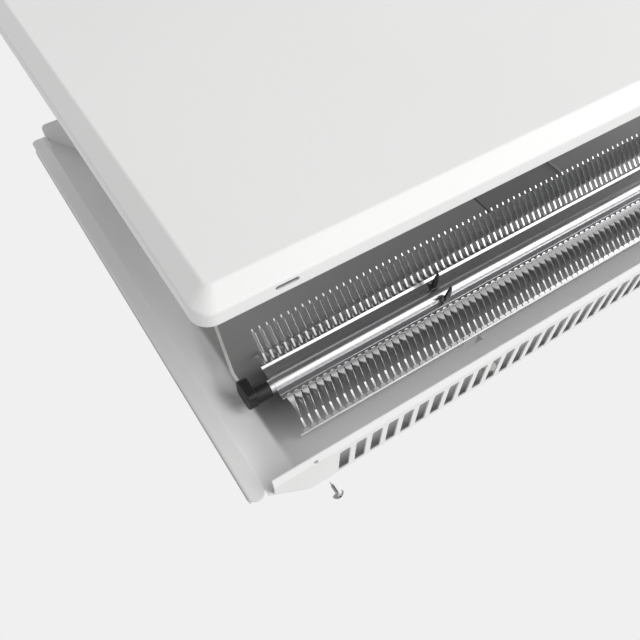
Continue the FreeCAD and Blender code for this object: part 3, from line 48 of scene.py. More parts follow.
class Shade:
    """A value in a material's node tree: arithmetic adds Math nodes, node() adds any other."""

    def __init__(self, tree, socket=None):
        self.tree = tree
        self.socket = socket

    def node(self, kind, settings=None, sockets=None, output=0):
        """Add a node: its settings first, then the values or links of its sockets."""
        made = self.tree.nodes.new("ShaderNode" + kind)
        for name, value in (settings or {}).items():
            setattr(made, name, value)
        for name, value in (sockets or {}).items():
            if isinstance(value, Shade):
                self.tree.links.new(value.socket, made.inputs[name])
            else:
                made.inputs[name].default_value = value
        return Shade(self.tree, made.outputs[output])

    def feed(self, socket):
        self.tree.links.new(self.socket, socket)

    def math(self, operation, first, second=0.0):
        return self.node("Math", {"operation": operation}, {0: first, 1: second})

    def __add__(self, other):
        return self.math("ADD", self, other)

    def __radd__(self, other):
        return self.math("ADD", other, self)

    def __sub__(self, other):
        return self.math("SUBTRACT", self, other)

    def __rsub__(self, other):
        return self.math("SUBTRACT", other, self)

    def __mul__(self, other):
        return self.math("MULTIPLY", self, other)

    def __rmul__(self, other):
        return self.math("MULTIPLY", other, self)


def new_finish(name):
    """A material with a plain Principled surface: the material, its tree as a Shade, the shader's sockets."""
    material = bpy.data.materials.new(name)
    material.use_nodes = True
    surface = material.node_tree.nodes["Principled BSDF"]
    return material, Shade(material.node_tree), surface.inputs


def noise(tree, scale, detail=2.0, stretch=None):
    """Noise on the piece's own coordinates, with grains of about 1 / scale metres."""
    place = tree.node("TexCoord", output="Object")
    if stretch:
        place = tree.node("Mapping", None, {"Vector": place, "Scale": stretch})
    return tree.node("TexNoise", None, {"Vector": place, "Scale": scale, "Detail": detail})


def tinted(tree, factor, low, high):
    """Colour between two colours, by a factor. Each is a tint or comes from other nodes."""
    low, high = (end if isinstance(end, Shade) else (*end, 1.0) for end in (low, high))
    factor_in, low_in, high_in, colour_out = 0, 6, 7, 2
    sockets = {factor_in: factor, low_in: low, high_in: high}
    return tree.node("Mix", {"data_type": "RGBA"}, sockets, colour_out)


def bumped(tree, height, depth, soft_edge=0.0):
    """Normal for a height pattern of a real depth in metres, on edges that are broken by a small radius."""
    sockets = {"Height": height, "Distance": depth, "Strength": 1.0}
    if soft_edge:
        sockets["Normal"] = tree.node("Bevel", {"samples": 4}, {"Radius": soft_edge})
    return tree.node("Bump", None, sockets)


paint_cloud = 9.0
paint_patch = 60.0
paint_patch_spread = 0.10
peel_grain = 420.0
peel_depth = 0.00006
grit_grain = 1500.0
grit_share = 0.25
paint_coat = 0.15
paint_coat_roughness = 0.25


def sprayed_paint(name, low, high, roughness, peel=1.0, soft_edge=0.0006, shade_mask=None, shade_colour=None):
    """Powder coat on sheet steel: a faint orange peel, slightly uneven tint and gloss, softened sheet edges.
    Where the given mask rises to 1, painted shade turns the colour to the given dark shade colour."""
    material, tree, surface = new_finish(name)
    colour = tinted(tree, noise(tree, paint_cloud), low, high)
    if shade_mask:
        colour = tinted(tree, shade_mask(tree), colour, shade_colour)
    colour.feed(surface["Base Color"])
    patches = noise(tree, paint_patch) * paint_patch_spread
    (patches + (roughness - paint_patch_spread / 2)).feed(surface["Roughness"])
    height = noise(tree, peel_grain, detail=1.0) * peel + noise(tree, grit_grain, detail=0.0) * grit_share
    bumped(tree, height, peel_depth, soft_edge).feed(surface["Normal"])
    surface["Coat Weight"].default_value = paint_coat
    surface["Coat Roughness"].default_value = paint_coat_roughness
    return material


def dress(material, *names):
    """Give a finish to CAD nodes, in every slot they have."""
    for name in names:
        for slot in nodes[name].material_slots:
            slot.material = material


dress(sprayed_paint("bracket_grey", (0.40, 0.40, 0.395), (0.46, 0.46, 0.455), roughness=0.55, peel=1.6),
      "wall_bracket")


# Back casing: one folded tray of 1 mm sheet steel, with hemmed rails down both sides, sloping sides, a
# slotted bottom wall whose front edge is turned up, and a shallow pressing in the middle of the back.
# It is powder coated white; painted shade darkens it deep in the tray and on the outer hems of the rails.

casing_low, casing_high = (Vector(corner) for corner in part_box("back_casing"))
fins_low, fins_high = (Vector(corner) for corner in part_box("rear_fin_sheet"))
slope_middle = -0.0330
sheet_front = -0.0285
facing_aside = -0.05
facing_front = -0.5
low_band = 0.076
low_share = 0.10
side_margin = 0.05
half_run = casing_high.x - side_margin
# Band behind the fins where their shadow is painted on the back sheet.
fin_shadow_low = fins_low.z + 0.002
fin_shadow_high = fins_high.z
fin_shadow_low_ease = 0.008
fin_shadow_high_ease = 0.015
fin_shadow_spread = 0.040
fin_shadow_side_ease = 0.050
# Painted shade in the corner over the bottom wall, darkest at the bottom.
corner_shade_top = 0.015
corner_shade_full = 0.003
# Pressing in the middle of the back, whose floor and left edge are painted in shade.
pressing_half = 0.046
pressing_tall = 0.120
pressing_end_ease = 0.003
pressing_side_ease = 0.001
pressing_edge_outside = 0.0026
pressing_edge_inside = 0.0008
pressing_edge_ease = 0.0012
# Strip along the rails' outer hems that is painted in shade.
hem_skin = 0.0004
hem_full = 0.0001
# How much painted shade each kind of place gets.
sheet_shade_share = 0.61
middle_shade_share = 0.10
fin_shadow_share = 0.35
corner_shade_share = 0.72
pressing_shade_share = 0.07
pressing_edge_shade_share = 0.30
hem_shade_share = 0.75


def ramp(tree, value, start, stop):
    """0 to 1 as a value goes from start to stop, eased at both ends."""
    return tree.node("MapRange", {"interpolation_type": "SMOOTHSTEP"},
                     {"Value": value, "From Min": start, "From Max": stop})


def band(tree, value, low, high, low_ease, high_ease):
    """1 between two limits and 0 outside them, eased from each limit inwards."""
    return ramp(tree, value, low, low + low_ease) * ramp(tree, value, high, high - high_ease)


def places(tree):
    """X, Y and Z on the piece, and the Y of the surface's direction."""
    spot = tree.node("SeparateXYZ", None, {"Vector": tree.node("TexCoord", output="Object")})
    facing = tree.node("SeparateXYZ", None, {"Vector": tree.node("TexCoord", output="Normal")}, output="Y")
    return [Shade(tree.tree, output) for output in spot.socket.node.outputs] + [facing]


def tray_painted_shade(tree):
    """Painted shade in the tray: it darkens towards the back sheet's middle, least along the bottom. A
    painted shadow of the lower fins lies behind them, and painted shade in the corner over the bottom wall.
    The pressing in the middle has a floor painted darker and a painted shade line along its left edge. The
    rails' outer hems are painted in shade too."""
    x, y, z, facing = places(tree)
    deep = ramp(tree, y, slope_middle, sheet_front)
    inside = ramp(tree, facing, facing_aside, facing_front)
    rise = ramp(tree, z, casing_low.z, casing_low.z + low_band) * (1.0 - low_share) + low_share
    middle = band(tree, x, casing_low.x + side_margin, casing_high.x - side_margin, half_run, half_run)
    fin_shadow_tall = band(tree, z, fin_shadow_low, fin_shadow_high, fin_shadow_low_ease, fin_shadow_high_ease)
    fin_shadow_wide = band(tree, x, fins_low.x - fin_shadow_spread, fins_high.x + fin_shadow_spread, fin_shadow_side_ease,
                     fin_shadow_side_ease)
    corner_shade = ramp(tree, z, casing_low.z + corner_shade_top, casing_low.z + corner_shade_full)
    tall = band(tree, z, -pressing_tall, pressing_tall, pressing_end_ease, pressing_end_ease)
    sunk = band(tree, x, -pressing_half, pressing_half, pressing_side_ease, pressing_side_ease)
    pressing_edge = band(tree, x, -pressing_half - pressing_edge_outside, -pressing_half + pressing_edge_inside, pressing_edge_ease, pressing_edge_ease)
    pressing = tall * (sunk * pressing_shade_share + pressing_edge * pressing_edge_shade_share)
    hems = (ramp(tree, x, casing_low.x + hem_skin, casing_low.x + hem_full)
            + ramp(tree, x, casing_high.x - hem_skin, casing_high.x - hem_full))
    sheet = rise * (fin_shadow_tall * fin_shadow_wide * fin_shadow_share + middle * middle_shade_share + pressing + sheet_shade_share)
    return deep * inside * (sheet + corner_shade * corner_shade_share) + hems * hem_shade_share


# The tray's painted shade mixes a near-black colour into the white paint.
dress(sprayed_paint("casing_white", (0.80, 0.80, 0.795), (0.84, 0.84, 0.835), roughness=0.42,
                    shade_mask=tray_painted_shade, shade_colour=(0.08, 0.082, 0.08)), "back_casing")


# Back plugs: white moulded plugs pushed through the back sheet near its lower edge.
# Their domed heads show inside the casing and a short collar holds them behind the sheet.

plastic_cloud = 30.0
plastic_patch = 120.0
plastic_patch_spread = 0.14
plastic_grain_depth = 0.00005
ink = (0.05, 0.05, 0.055)


def moulded_plastic(name, low, high, roughness, grain=900.0, soft_edge=0.0004, marks=None):
    """Moulded plastic: a fine spark-eroded grain, a slight drift in tint and gloss, broken edges.
    Where marks(tree) is 1 it is printed dark."""
    material, tree, surface = new_finish(name)
    colour = tinted(tree, noise(tree, plastic_cloud), low, high)
    if marks:
        colour = tinted(tree, marks(tree), colour, ink)
    colour.feed(surface["Base Color"])
    patches = noise(tree, plastic_patch) * plastic_patch_spread
    (patches + (roughness - plastic_patch_spread / 2)).feed(surface["Roughness"])
    bumped(tree, noise(tree, grain, detail=1.0), plastic_grain_depth, soft_edge).feed(surface["Normal"])
    return material


plug_tints = (0.76, 0.76, 0.745), (0.82, 0.82, 0.81)
plug_roughness = 0.45
white_plastic = moulded_plastic("plug_white", *plug_tints, plug_roughness)
dress(white_plastic, "back_plug_left", "back_plug_right")


# Element supports: small zinc-plated steel brackets behind the element, held by blind rivets.
# The plating shows as a mottled grey spangle. The cut-out's plate is of the same sheet.

spangle_grain = 260.0
spangle_spread = 0.18
spangle_roughness = 0.30
zinc_pit_grain = 700.0
zinc_pit_depth = 0.00004
zinc_soft_edge = 0.0004


def zinc_plate(name, low, high):
    """Zinc plating: crystals that differ in tint and gloss, with fine pits."""
    material, tree, surface = new_finish(name)
    place = tree.node("TexCoord", output="Object")
    crystals = tree.node("TexVoronoi", None, {"Vector": place, "Scale": spangle_grain}, output="Color")
    spangle = tree.node("RGBToBW", None, {"Color": crystals})
    tinted(tree, spangle, low, high).feed(surface["Base Color"])
    (spangle * spangle_spread + spangle_roughness).feed(surface["Roughness"])
    surface["Metallic"].default_value = 1.0
    bumped(tree, noise(tree, zinc_pit_grain), zinc_pit_depth, zinc_soft_edge).feed(surface["Normal"])
    return material


dress(zinc_plate("zinc_spangle", (0.42, 0.43, 0.44), (0.60, 0.61, 0.62)),
      "element_support_left", "element_support_right", "rivets", "cutout_plate")


# Heating rod: a drawn steel sheath, bright, with faint lengthwise drawing marks.
# The terminal pins at its ends and the thermostat's shaft are of the same steel.

mark_grain = 900.0
mark_detail = 3.0
mark_spread = 0.16
mark_depth = 0.00003
handled_patch = 40.0
handled_spread = 0.10


def drawn_metal(name, low, high, roughness, stretch):
    """Bare metal with fine marks along one direction."""
    material, tree, surface = new_finish(name)
    marks = noise(tree, mark_grain, mark_detail, stretch)
    tinted(tree, marks, low, high).feed(surface["Base Color"])
    uneven = marks * mark_spread + noise(tree, handled_patch) * handled_spread
    (uneven + (roughness - (mark_spread + handled_spread) / 2)).feed(surface["Roughness"])
    surface["Metallic"].default_value = 1.0
    bumped(tree, marks, mark_depth).feed(surface["Normal"])
    return material


drawn_steel = drawn_metal("drawn_steel", (0.60, 0.60, 0.61), (0.78, 0.78, 0.79), roughness=0.28,
                          stretch=(0.02, 1.0, 1.0))
dress(drawn_steel, "heating_rod", "terminal_pin_left", "terminal_pin_right", "knob_shaft")


# Fin sheets: two pressed aluminium sheets clamped round the rod. Each is folded forwards or back into flanges
# whose slats are slit and twisted edge-on to the air, with narrow flat necks that hold them to the sheet.
# The front sheet ends in a plain edge below the rod; the rear one has a lower flange with a tip strip too.

fin_sheet = 0.0004
slat_sheet = 0.0001
petal_sheet = 0.0004
web_rise = 0.0149
web_drop = 0.0130
web_low_edge = 0.0094
bend_radius = 0.0013
sharp_bend = 0.0002
bend_steps = 5
bulge_gap = fin_sheet * 0.6
bulge_start = -84.0
bulge_step = 14.0
bulge_rungs = 13
root_band = 0.0022
head_start = -0.0018
tip_strip = 0.0012
slat_pitch = 0.006
sliver = 0.0007
neck = 0.0015
blade = 0.0050
petal = 0.0049
tip_leaf = 0.0042
tip_dash = 0.0026
tip_wire = 0.0010
# Each rung of a slat: its share of the length, its width, its turn in degrees and its lift off the flange.
front_upper_rungs = ((0.0, sliver, 75.0, 0.0), (0.05, sliver, 75.0, 0.0), (0.08, neck, 4.0, 0.0),
                     (0.30, neck, 4.0, 0.0), (0.37, blade, 70.0, 0.0), (0.6, blade, 78.0, 0.0),
                     (0.89, blade, 74.0, 0.0), (0.915, tip_wire, 10.0, 0.0), (1.0, tip_wire, 0.0, 0.0))
rear_upper_rungs = ((0.0, neck, 0.0, 0.0), (0.24, neck, 4.0, 0.0), (0.31, blade, 66.0, 0.0),
                    (0.82, blade, 72.0, 0.0), (0.88, neck, 10.0, 0.0), (0.93, tip_leaf, 0.0, 0.0),
                    (1.0, tip_leaf, 0.0, 0.0018))
rear_lower_rungs = ((0.0, neck, -6.0, 0.0), (0.015, tip_dash, -6.0, 0.0), (0.04, tip_leaf, -8.0, -0.0002),
                    (0.08, petal, -12.0, -0.0006), (0.13, petal, -24.0, -0.0010),
                    (0.19, tip_leaf, -44.0, -0.0013), (0.28, tip_leaf, -64.0, -0.0014),
                    (0.45, tip_leaf, -80.0, -0.0012), (0.62, tip_dash, -78.0, -0.0008),
                    (0.66, neck, 2.0, -0.0006), (0.89, neck, 4.0, -0.0001), (0.91, sliver, 0.0, 0.0),
                    (0.93, tip_leaf, -10.0, 0.0), (1.0, blade, -10.0, 0.0))
rod_low, rod_high = (Vector(corner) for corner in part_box("heating_rod"))
element_y = (rod_low.y + rod_high.y) / 2
element_z = (rod_low.z + rod_high.z) / 2
rod_radius = (rod_high.z - rod_low.z) / 2
smooth_limit = math.radians(32.0)


def pick(piece, test):
    """Select the vertices of a mesh whose place passes a test, and nothing else."""
    for part in (piece.data.polygons, piece.data.edges):
        part.foreach_set("select", [False] * len(part))
    for vertex in piece.data.vertices:
        vertex.select = test(vertex.co)


def start_piece(name):
    """Name the primitive that was just added and put its place in its mesh."""
    piece = bpy.context.object
    piece.name = name
    bpy.ops.object.transform_apply(location=True, rotation=True, scale=True)
    return piece


def finish_modifiers(piece):
    """Apply every modifier of a piece, first to last."""
    bpy.context.view_layer.objects.active = piece
    for modifier in list(piece.modifiers):
        bpy.ops.object.modifier_apply(modifier=modifier.name)


def thicken(piece, sheet):
    """Give a thin surface its sheet thickness, half to either side."""
    wall = piece.modifiers.new("sheet", "SOLIDIFY")
    wall.thickness = sheet
    wall.offset = 0.0
    finish_modifiers(piece)


def draw_out(name, section, x0, x1, sheet):
    """Sheet folded along X: one edge drawn out through the (y, z) points of its section."""
    length = x1 - x0
    bpy.ops.object.select_all(action="DESELECT")
    bpy.ops.mesh.primitive_plane_add(size=length, location=((x0 + x1) / 2, 0.0, 0.0))
    piece = start_piece(name)
    pick(piece, lambda at: at.y > 0.0)
    bpy.ops.object.mode_set(mode="EDIT")
    bpy.ops.mesh.delete(type="VERT")
    bpy.ops.mesh.select_all(action="SELECT")
    bpy.ops.transform.translate(value=(0.0, section[0][0] + length / 2, section[0][1]))
    for before, after in zip(section, section[1:]):
        step = (0.0, after[0] - before[0], after[1] - before[1])
        bpy.ops.mesh.extrude_region_move(TRANSFORM_OT_translate={"value": step})
    bpy.ops.object.mode_set(mode="OBJECT")
    thicken(piece, sheet)
    return piece


def joined(name, pieces):
    """Several meshes made one piece, smooth across gentle folds only."""
    bpy.ops.object.select_all(action="DESELECT")
    for piece in pieces:
        piece.select_set(True)
    bpy.context.view_layer.objects.active = pieces[0]
    bpy.ops.object.join()
    piece = bpy.context.object
    piece.name = name
    bpy.ops.object.shade_smooth_by_angle(angle=smooth_limit)
    return piece


def twisted_slat(length, rungs, sheet):
    """One louvre along +Y from the origin: an edge drawn out rung by rung, each set to its width and turn."""
    first_width, first_turn = rungs[0][1:3]
    origin = (0.0, 0.0, 0.0)
    bpy.ops.object.select_all(action="DESELECT")
    bpy.ops.mesh.primitive_plane_add(size=first_width, location=(0.0, first_width / 2, 0.0))
    slat = start_piece("slat")
    pick(slat, lambda at: at.y > first_width / 2)
    bpy.ops.object.mode_set(mode="EDIT")
    bpy.ops.mesh.delete(type="VERT")
    bpy.ops.mesh.select_all(action="SELECT")
    bpy.ops.transform.rotate(value=math.radians(first_turn), orient_axis="Y", center_override=origin)
    for (share, width, turn, lift), (next_share, next_width, next_turn, next_lift) in zip(rungs, rungs[1:]):
        step = (0.0, (next_share - share) * length, next_lift - lift)
        bpy.ops.mesh.extrude_region_move(TRANSFORM_OT_translate={"value": step})
        middle = (0.0, next_share * length, next_lift)
        bpy.ops.transform.resize(value=(next_width / width,) * 3, center_override=middle)
        bpy.ops.transform.rotate(value=math.radians(next_turn - turn), orient_axis="Y",
                                 center_override=middle)
    bpy.ops.object.mode_set(mode="OBJECT")
    thicken(slat, sheet)
    return slat


def louvres(start, run, length, x0, x1, rungs, sheet):
    """Row of slats along X: one slat laid along the flange and repeated by an array."""
    slat = twisted_slat(length, rungs, sheet)
    count = int((x1 - x0) / slat_pitch)
    first = (x0 + x1) / 2 - (count - 1) * slat_pitch / 2
    slat.rotation_euler = (math.atan2(run.y, run.x), 0.0, 0.0)
    slat.location = (first, start.x, start.y)
    bpy.ops.object.transform_apply(location=True, rotation=True, scale=True)
    row = slat.modifiers.new("row", "ARRAY")
    row.count = count
    row.use_relative_offset = False
    row.use_constant_offset = True
    row.constant_offset_displace = (slat_pitch, 0.0, 0.0)
    finish_modifiers(slat)
    return slat


def bent(before, corner, after, radius):
    """Points of a round bend at a corner of a section."""
    into = (corner - before).normalized()
    out = (after - corner).normalized()
    trim = radius * math.tan(into.angle(out) / 2)
    first = corner - into * trim
    last = corner + out * trim
    shares = [step / bend_steps for step in range(bend_steps + 1)]
    return [first.lerp(corner, share).lerp(corner.lerp(last, share), share) for share in shares]


def fin_piece(name, node, facing):
    """One fin sheet; facing is -1 for the front one and 1 for the rear one."""
    low, high = (Vector(corner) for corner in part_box(node))
    reach = (element_y - low.y) if facing < 0 else (high.y - element_y)
    web_y = element_y + facing * fin_sheet / 2
    pieces = []

    def flange(fold_z, tip_z, rungs, sheet, band_width, strip, radius):
        """Bend and root band of a flange, whose slats and tip strip are laid beyond it."""
        fold = Vector((web_y, fold_z))
        tip = Vector((element_y + facing * reach, tip_z))
        run = (tip - fold).normalized()
        length = (tip - fold).length - strip
        root = fold + run * max(band_width, radius)
        pieces.append(louvres(fold + run * band_width, run, length - band_width, low.x, high.x, rungs, sheet))
        if strip:
            pieces.append(draw_out("tip_strip", [fold + run * length, tip], low.x, high.x, fin_sheet))
        return bent(Vector((web_y, element_z)), fold, tip, radius) + [root]

    if facing < 0:
        upper_rungs = front_upper_rungs
        section = [Vector((web_y, element_z - web_low_edge))]
    else:
        upper_rungs = rear_upper_rungs
        section = flange(element_z - web_drop, low.z, rear_lower_rungs, petal_sheet, head_start, tip_strip,
                         sharp_bend)[::-1]
    bulge_radius = rod_radius + bulge_gap
    for rung in range(bulge_rungs):
        angle = math.radians(bulge_start + bulge_step * rung)
        section.append(Vector((element_y + facing * bulge_radius * math.cos(angle),
                               element_z + bulge_radius * math.sin(angle))))
    section += flange(element_z + web_rise, high.z, upper_rungs, slat_sheet, root_band, 0.0, bend_radius)
    return joined(name, [draw_out("web", section, low.x, high.x, fin_sheet)] + pieces)


aluminium = drawn_metal("rolled_aluminium", (0.62, 0.62, 0.63), (0.74, 0.74, 0.75), roughness=0.30,
                        stretch=(0.03, 1.0, 1.0))
for name, node, facing in (("front_fins", "front_fin_sheet", -1), ("rear_fins", "rear_fin_sheet", 1)):
    fins = fin_piece(name, node, facing)
    fins.data.materials.append(aluminium)
    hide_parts(node)
    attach(fins, "heater")


# End holders: black heat-resisting mouldings that carry the element, each with a rod end gripped in its stem.
# The cable gland, its nut and the cut-out's case are moulded from the same kind of plastic.

black_moulding = moulded_plastic("black_moulding", (0.008, 0.008, 0.009), (0.016, 0.016, 0.017),
                                 roughness=0.42, grain=700.0, soft_edge=0.0009)
dress(black_moulding, "element_end_holder_left", "element_end_holder_right", "cable_gland", "gland_nut",
      "thermal_cutout")


# Support clips: black mouldings of the same plastic on the steel supports. Each has a block behind the web,
# grooved for the rod's bulge, and two leaf-shaped prongs with a side barb that stand through the web.

clip_width = 0.010
clip_half = 0.009
clip_play = 0.0003
clip_edge = 0.0005
clip_edge_steps = 2
groove_radius = rod_radius + 0.0008
groove_sides = 48
prong_sheet = 0.0018
prong_rise = 0.0076
prong_root = 0.001
prong_turn = 188.0
barb_length = 0.0084
barb_turn = 143.0
barb_aside = -0.0010
barb_ahead = 0.0035
prong_rungs = ((0.0, 0.0044, 0.0, 0.0), (0.3, 0.0054, 0.0, 0.0), (0.6, 0.0046, 0.0, 0.0),
               (0.82, 0.0028, 0.0, 0.0), (1.0, 0.0006, 0.0, 0.0))
barb_rungs = ((0.0, 0.0036, 0.0, 0.0), (0.5, 0.0030, 0.0, 0.0), (1.0, 0.0009, 0.0, 0.0))


def cut_with(piece, tool):
    """Cut one mesh out of another, and do away with the tool."""
    cut = piece.modifiers.new("cut", "BOOLEAN")
    cut.object = tool
    finish_modifiers(piece)
    bpy.data.objects.remove(tool)


def clip_block(x, back_y):
    """The clip's block between the web and the support, with its groove and broken edges."""
    front_y = element_y + fin_sheet + clip_play
    bpy.ops.object.select_all(action="DESELECT")
    bpy.ops.mesh.primitive_cube_add(size=1.0, location=(x, (front_y + back_y) / 2, element_z),
                                    scale=(clip_width, back_y - front_y, 2 * clip_half))
    block = start_piece("clip_block")
    bpy.ops.object.select_all(action="DESELECT")
    bpy.ops.mesh.primitive_cylinder_add(vertices=groove_sides, radius=groove_radius, depth=2 * clip_width,
                                        location=(x, element_y, element_z),
                                        rotation=(0.0, math.radians(90.0), 0.0))
    cut_with(block, start_piece("groove_tool"))
    edges = block.modifiers.new("edges", "BEVEL")
    edges.width = clip_edge
    edges.segments = clip_edge_steps
    finish_modifiers(block)
    return block


def clip_piece(name, node):
    """Whole clip, set where the node is."""
    low, high = (Vector(corner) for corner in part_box(node))
    x = (low.x + high.x) / 2
    reach = element_y + prong_root - low.y
    # Each limb: its length, its rungs, its turn about Z in degrees, and how far it starts aside and ahead.
    limbs = ((reach, prong_rungs, prong_turn, 0.0, -prong_root),
             (barb_length, barb_rungs, barb_turn, barb_aside, barb_ahead))
    pieces = [clip_block(x, high.y)]
    for up in (-1, 1):
        for length, rungs, turn, aside, ahead in limbs:
            limb = twisted_slat(length, rungs, prong_sheet)
            limb.rotation_euler = (0.0, 0.0, math.radians(turn))
            limb.location = (x + aside, element_y - ahead, element_z + up * prong_rise)
            bpy.ops.object.transform_apply(location=True, rotation=True, scale=True)
            pieces.append(limb)
    return joined(name, pieces)


for name, node in (("barbed_clip_left", "support_clip_left"), ("barbed_clip_right", "support_clip_right")):
    clip = clip_piece(name, node)
    clip.data.materials.append(black_moulding)
    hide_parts(node)
    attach(clip, "heater")


# Leads: stranded wire in sleeves, held on the back sheet by white plastic saddles.
# The element's leads have white heat-resisting sleeves; the mains ways are colour coded.

ripple_grain = 500.0
ripple_depth = 0.00004
sleeve_patch = 90.0
sleeve_patch_spread = 0.12
sleeve_roughness = 0.42


def sleeve(name, low, high):
    """Flexible sleeve: soft sheen with a fine extruded ripple."""
    material, tree, surface = new_finish(name)
    ripple = noise(tree, ripple_grain, detail=1.0)
    tinted(tree, ripple, low, high).feed(surface["Base Color"])
    (noise(tree, sleeve_patch) * sleeve_patch_spread + sleeve_roughness).feed(surface["Roughness"])
    bumped(tree, ripple, ripple_depth).feed(surface["Normal"])
    return material


dress(sleeve("sleeve_white", (0.72, 0.72, 0.70), (0.80, 0.80, 0.78)),
      "left_element_lead", "right_element_lead", "cutout_lead")
dress(sleeve("sleeve_brown", (0.10, 0.035, 0.015), (0.14, 0.05, 0.02)), "line_lead")
dress(sleeve("sleeve_blue", (0.02, 0.09, 0.36), (0.03, 0.12, 0.42)), "neutral_lead")
dress(sleeve("sleeve_green", (0.06, 0.26, 0.03), (0.08, 0.31, 0.04)), "earth_lead")
dress(white_plastic, "lead_saddles", "terminal_block")


# Small screws: bright zinc-plated steel, with turned marks on their heads.
# They hold the control plate, the terminal block's ways and the earth ring.

bright_zinc = drawn_metal("bright_zinc", (0.34, 0.34, 0.35), (0.46, 0.46, 0.47), roughness=0.36,
                          stretch=(1.0, 1.0, 0.05))
dress(bright_zinc, "control_screws", "terminal_screws", "earth_screw")


# Retaining screws: sheet-metal screws of zinc-plated steel with a domed head, a cross recess and a rolled
# thread that runs out on the point. They go up through the bottom wall into the panel's lip.

screw_shank = 0.0094
# The node's shank with 0.1 mm of play, so that the head stays clear of the bottom wall when it is driven in.
plain_shank = 0.0085
screw_sides = 32
shank_radius = 0.0010
thread_radius = 0.0015
thread_pitch = 0.0013
thread_turns = 4
thread_start = 0.0012
steps_per_turn = 18
ridge_radius = (thread_radius - shank_radius) / 1.4
ridge_offset = 0.0001
recess_reach = 0.0038
recess_width = 0.0009
recess_floor = -0.0012
recess_tool_height = 0.003
# Turned outline from the dome's top over its rim and along the shank: radius and height above the seat.
screw_outline = ((0.0004, -0.0027), (0.0014, -0.0026), (0.0025, -0.0021), (0.0033, -0.0014),
                 (0.0038, -0.0006), (0.0039, 0.0), (0.0011, 0.0), (shank_radius, 0.0003),
                 (shank_radius, 0.0056), (0.0005, 0.0066), (0.0001, screw_shank))


def turned_piece(name, outline):
    """Piece turned about Z: a ring drawn out through the radii and heights of its outline."""
    bpy.ops.object.select_all(action="DESELECT")
    bpy.ops.mesh.primitive_circle_add(vertices=screw_sides, radius=outline[0][0], fill_type="NGON",
                                      location=(0.0, 0.0, outline[0][1]))
    piece = start_piece(name)
    bpy.ops.object.mode_set(mode="EDIT")
    bpy.ops.mesh.select_all(action="SELECT")
    for (radius, height), (next_radius, next_height) in zip(outline, outline[1:]):
        bpy.ops.mesh.extrude_region_move(TRANSFORM_OT_translate={"value": (0.0, 0.0, next_height - height)})
        bpy.ops.transform.resize(value=(next_radius / radius, next_radius / radius, 1.0),
                                 center_override=(0.0, 0.0, next_height))
    bpy.ops.mesh.select_all(action="SELECT")
    bpy.ops.mesh.normals_make_consistent(inside=False)
    bpy.ops.object.mode_set(mode="OBJECT")
    return piece


def screw_thread():
    """Rolled thread: a small triangle wound up round the shank."""
    ridge_corners = 3
    bpy.ops.object.select_all(action="DESELECT")
    bpy.ops.mesh.primitive_circle_add(vertices=ridge_corners, radius=ridge_radius, fill_type="NOTHING",
                                      location=(shank_radius + ridge_offset, 0.0, thread_start),
                                      rotation=(math.radians(90.0), 0.0, math.radians(90.0)))
    ridge = start_piece("thread")
    wind = ridge.modifiers.new("wind", "SCREW")
    wind.angle = math.tau * thread_turns
    wind.screw_offset = thread_pitch * thread_turns
    wind.steps = steps_per_turn * thread_turns
    wind.render_steps = steps_per_turn * thread_turns
    finish_modifiers(ridge)
    bpy.ops.object.mode_set(mode="EDIT")
    bpy.ops.mesh.select_all(action="SELECT")
    bpy.ops.mesh.fill_holes(sides=ridge_corners)
    bpy.ops.mesh.normals_make_consistent(inside=False)
    bpy.ops.object.mode_set(mode="OBJECT")
    return ridge


def cut_recess(piece, along_x, along_y):
    """One way of the cross recess, cut into the head from below."""
    bpy.ops.object.select_all(action="DESELECT")
    bpy.ops.mesh.primitive_cube_add(size=1.0, location=(0.0, 0.0, recess_floor - recess_tool_height / 2),
                                    scale=(along_x, along_y, recess_tool_height))
    cut_with(piece, start_piece("recess_tool"))


def screw_at(name, node):
    """Whole screw, set where the node is."""
    low, high = (Vector(corner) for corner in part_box(node))
    body = turned_piece("body", screw_outline)
    cut_recess(body, recess_reach, recess_width)
    cut_recess(body, recess_width, recess_reach)
    screw = joined(name, [body, screw_thread()])
    screw.location = ((low.x + high.x) / 2, (low.y + high.y) / 2, high.z - plain_shank)
    bpy.ops.object.transform_apply(location=True, rotation=True, scale=True)
    return screw


for name, node in (("dome_screw_left", "retaining_screw_left"),
                   ("dome_screw_right", "retaining_screw_right")):
    screw = screw_at(name, node)
    screw.data.materials.append(bright_zinc)
    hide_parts(node)
    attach(screw, node)


# Controls: a white plate on the top wall with the thermostat knob, a black rocker switch and a red lamp lens.
# Under it hang the grey moulded box and the thermostat's body.

knob_low, knob_high = (Vector(corner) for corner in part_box("thermostat_knob"))
tick_inner = 0.0131
tick_outer = 0.0147
tick_half = 0.0003
tick_step = math.radians(45.0)
scale_end = math.radians(150.0)
lens_cloud = 300.0
lens_patch = 200.0
lens_patch_spread = 0.1
lens_roughness = 0.12
lens_clearness = 0.5


def dial_marks(tree):
    """Printed scale on the plate round the knob: ticks at even steps, none at the back."""
    x, y = places(tree)[:2]
    across = x - (knob_low.x + knob_high.x) / 2
    ahead = (knob_low.y + knob_high.y) / 2 - y
    radius = tree.math("SQRT", across * across + ahead * ahead)
    angle = tree.math("ARCTAN2", across, ahead)
    off_tick = tree.math("PINGPONG", angle, tick_step / 2) * radius
    ring = tree.math("GREATER_THAN", radius, tick_inner) * tree.math("LESS_THAN", radius, tick_outer)
    on_scale = tree.math("LESS_THAN", tree.math("ABSOLUTE", angle), scale_end)
    return ring * on_scale * tree.math("LESS_THAN", off_tick, tick_half)


def tinted_lens(name, low, high):
    """Clear tinted plastic: a faint drift in colour and polish."""
    material, tree, surface = new_finish(name)
    tinted(tree, noise(tree, lens_cloud), low, high).feed(surface["Base Color"])
    (noise(tree, lens_patch) * lens_patch_spread + lens_roughness).feed(surface["Roughness"])
    surface["Transmission Weight"].default_value = lens_clearness
    return material


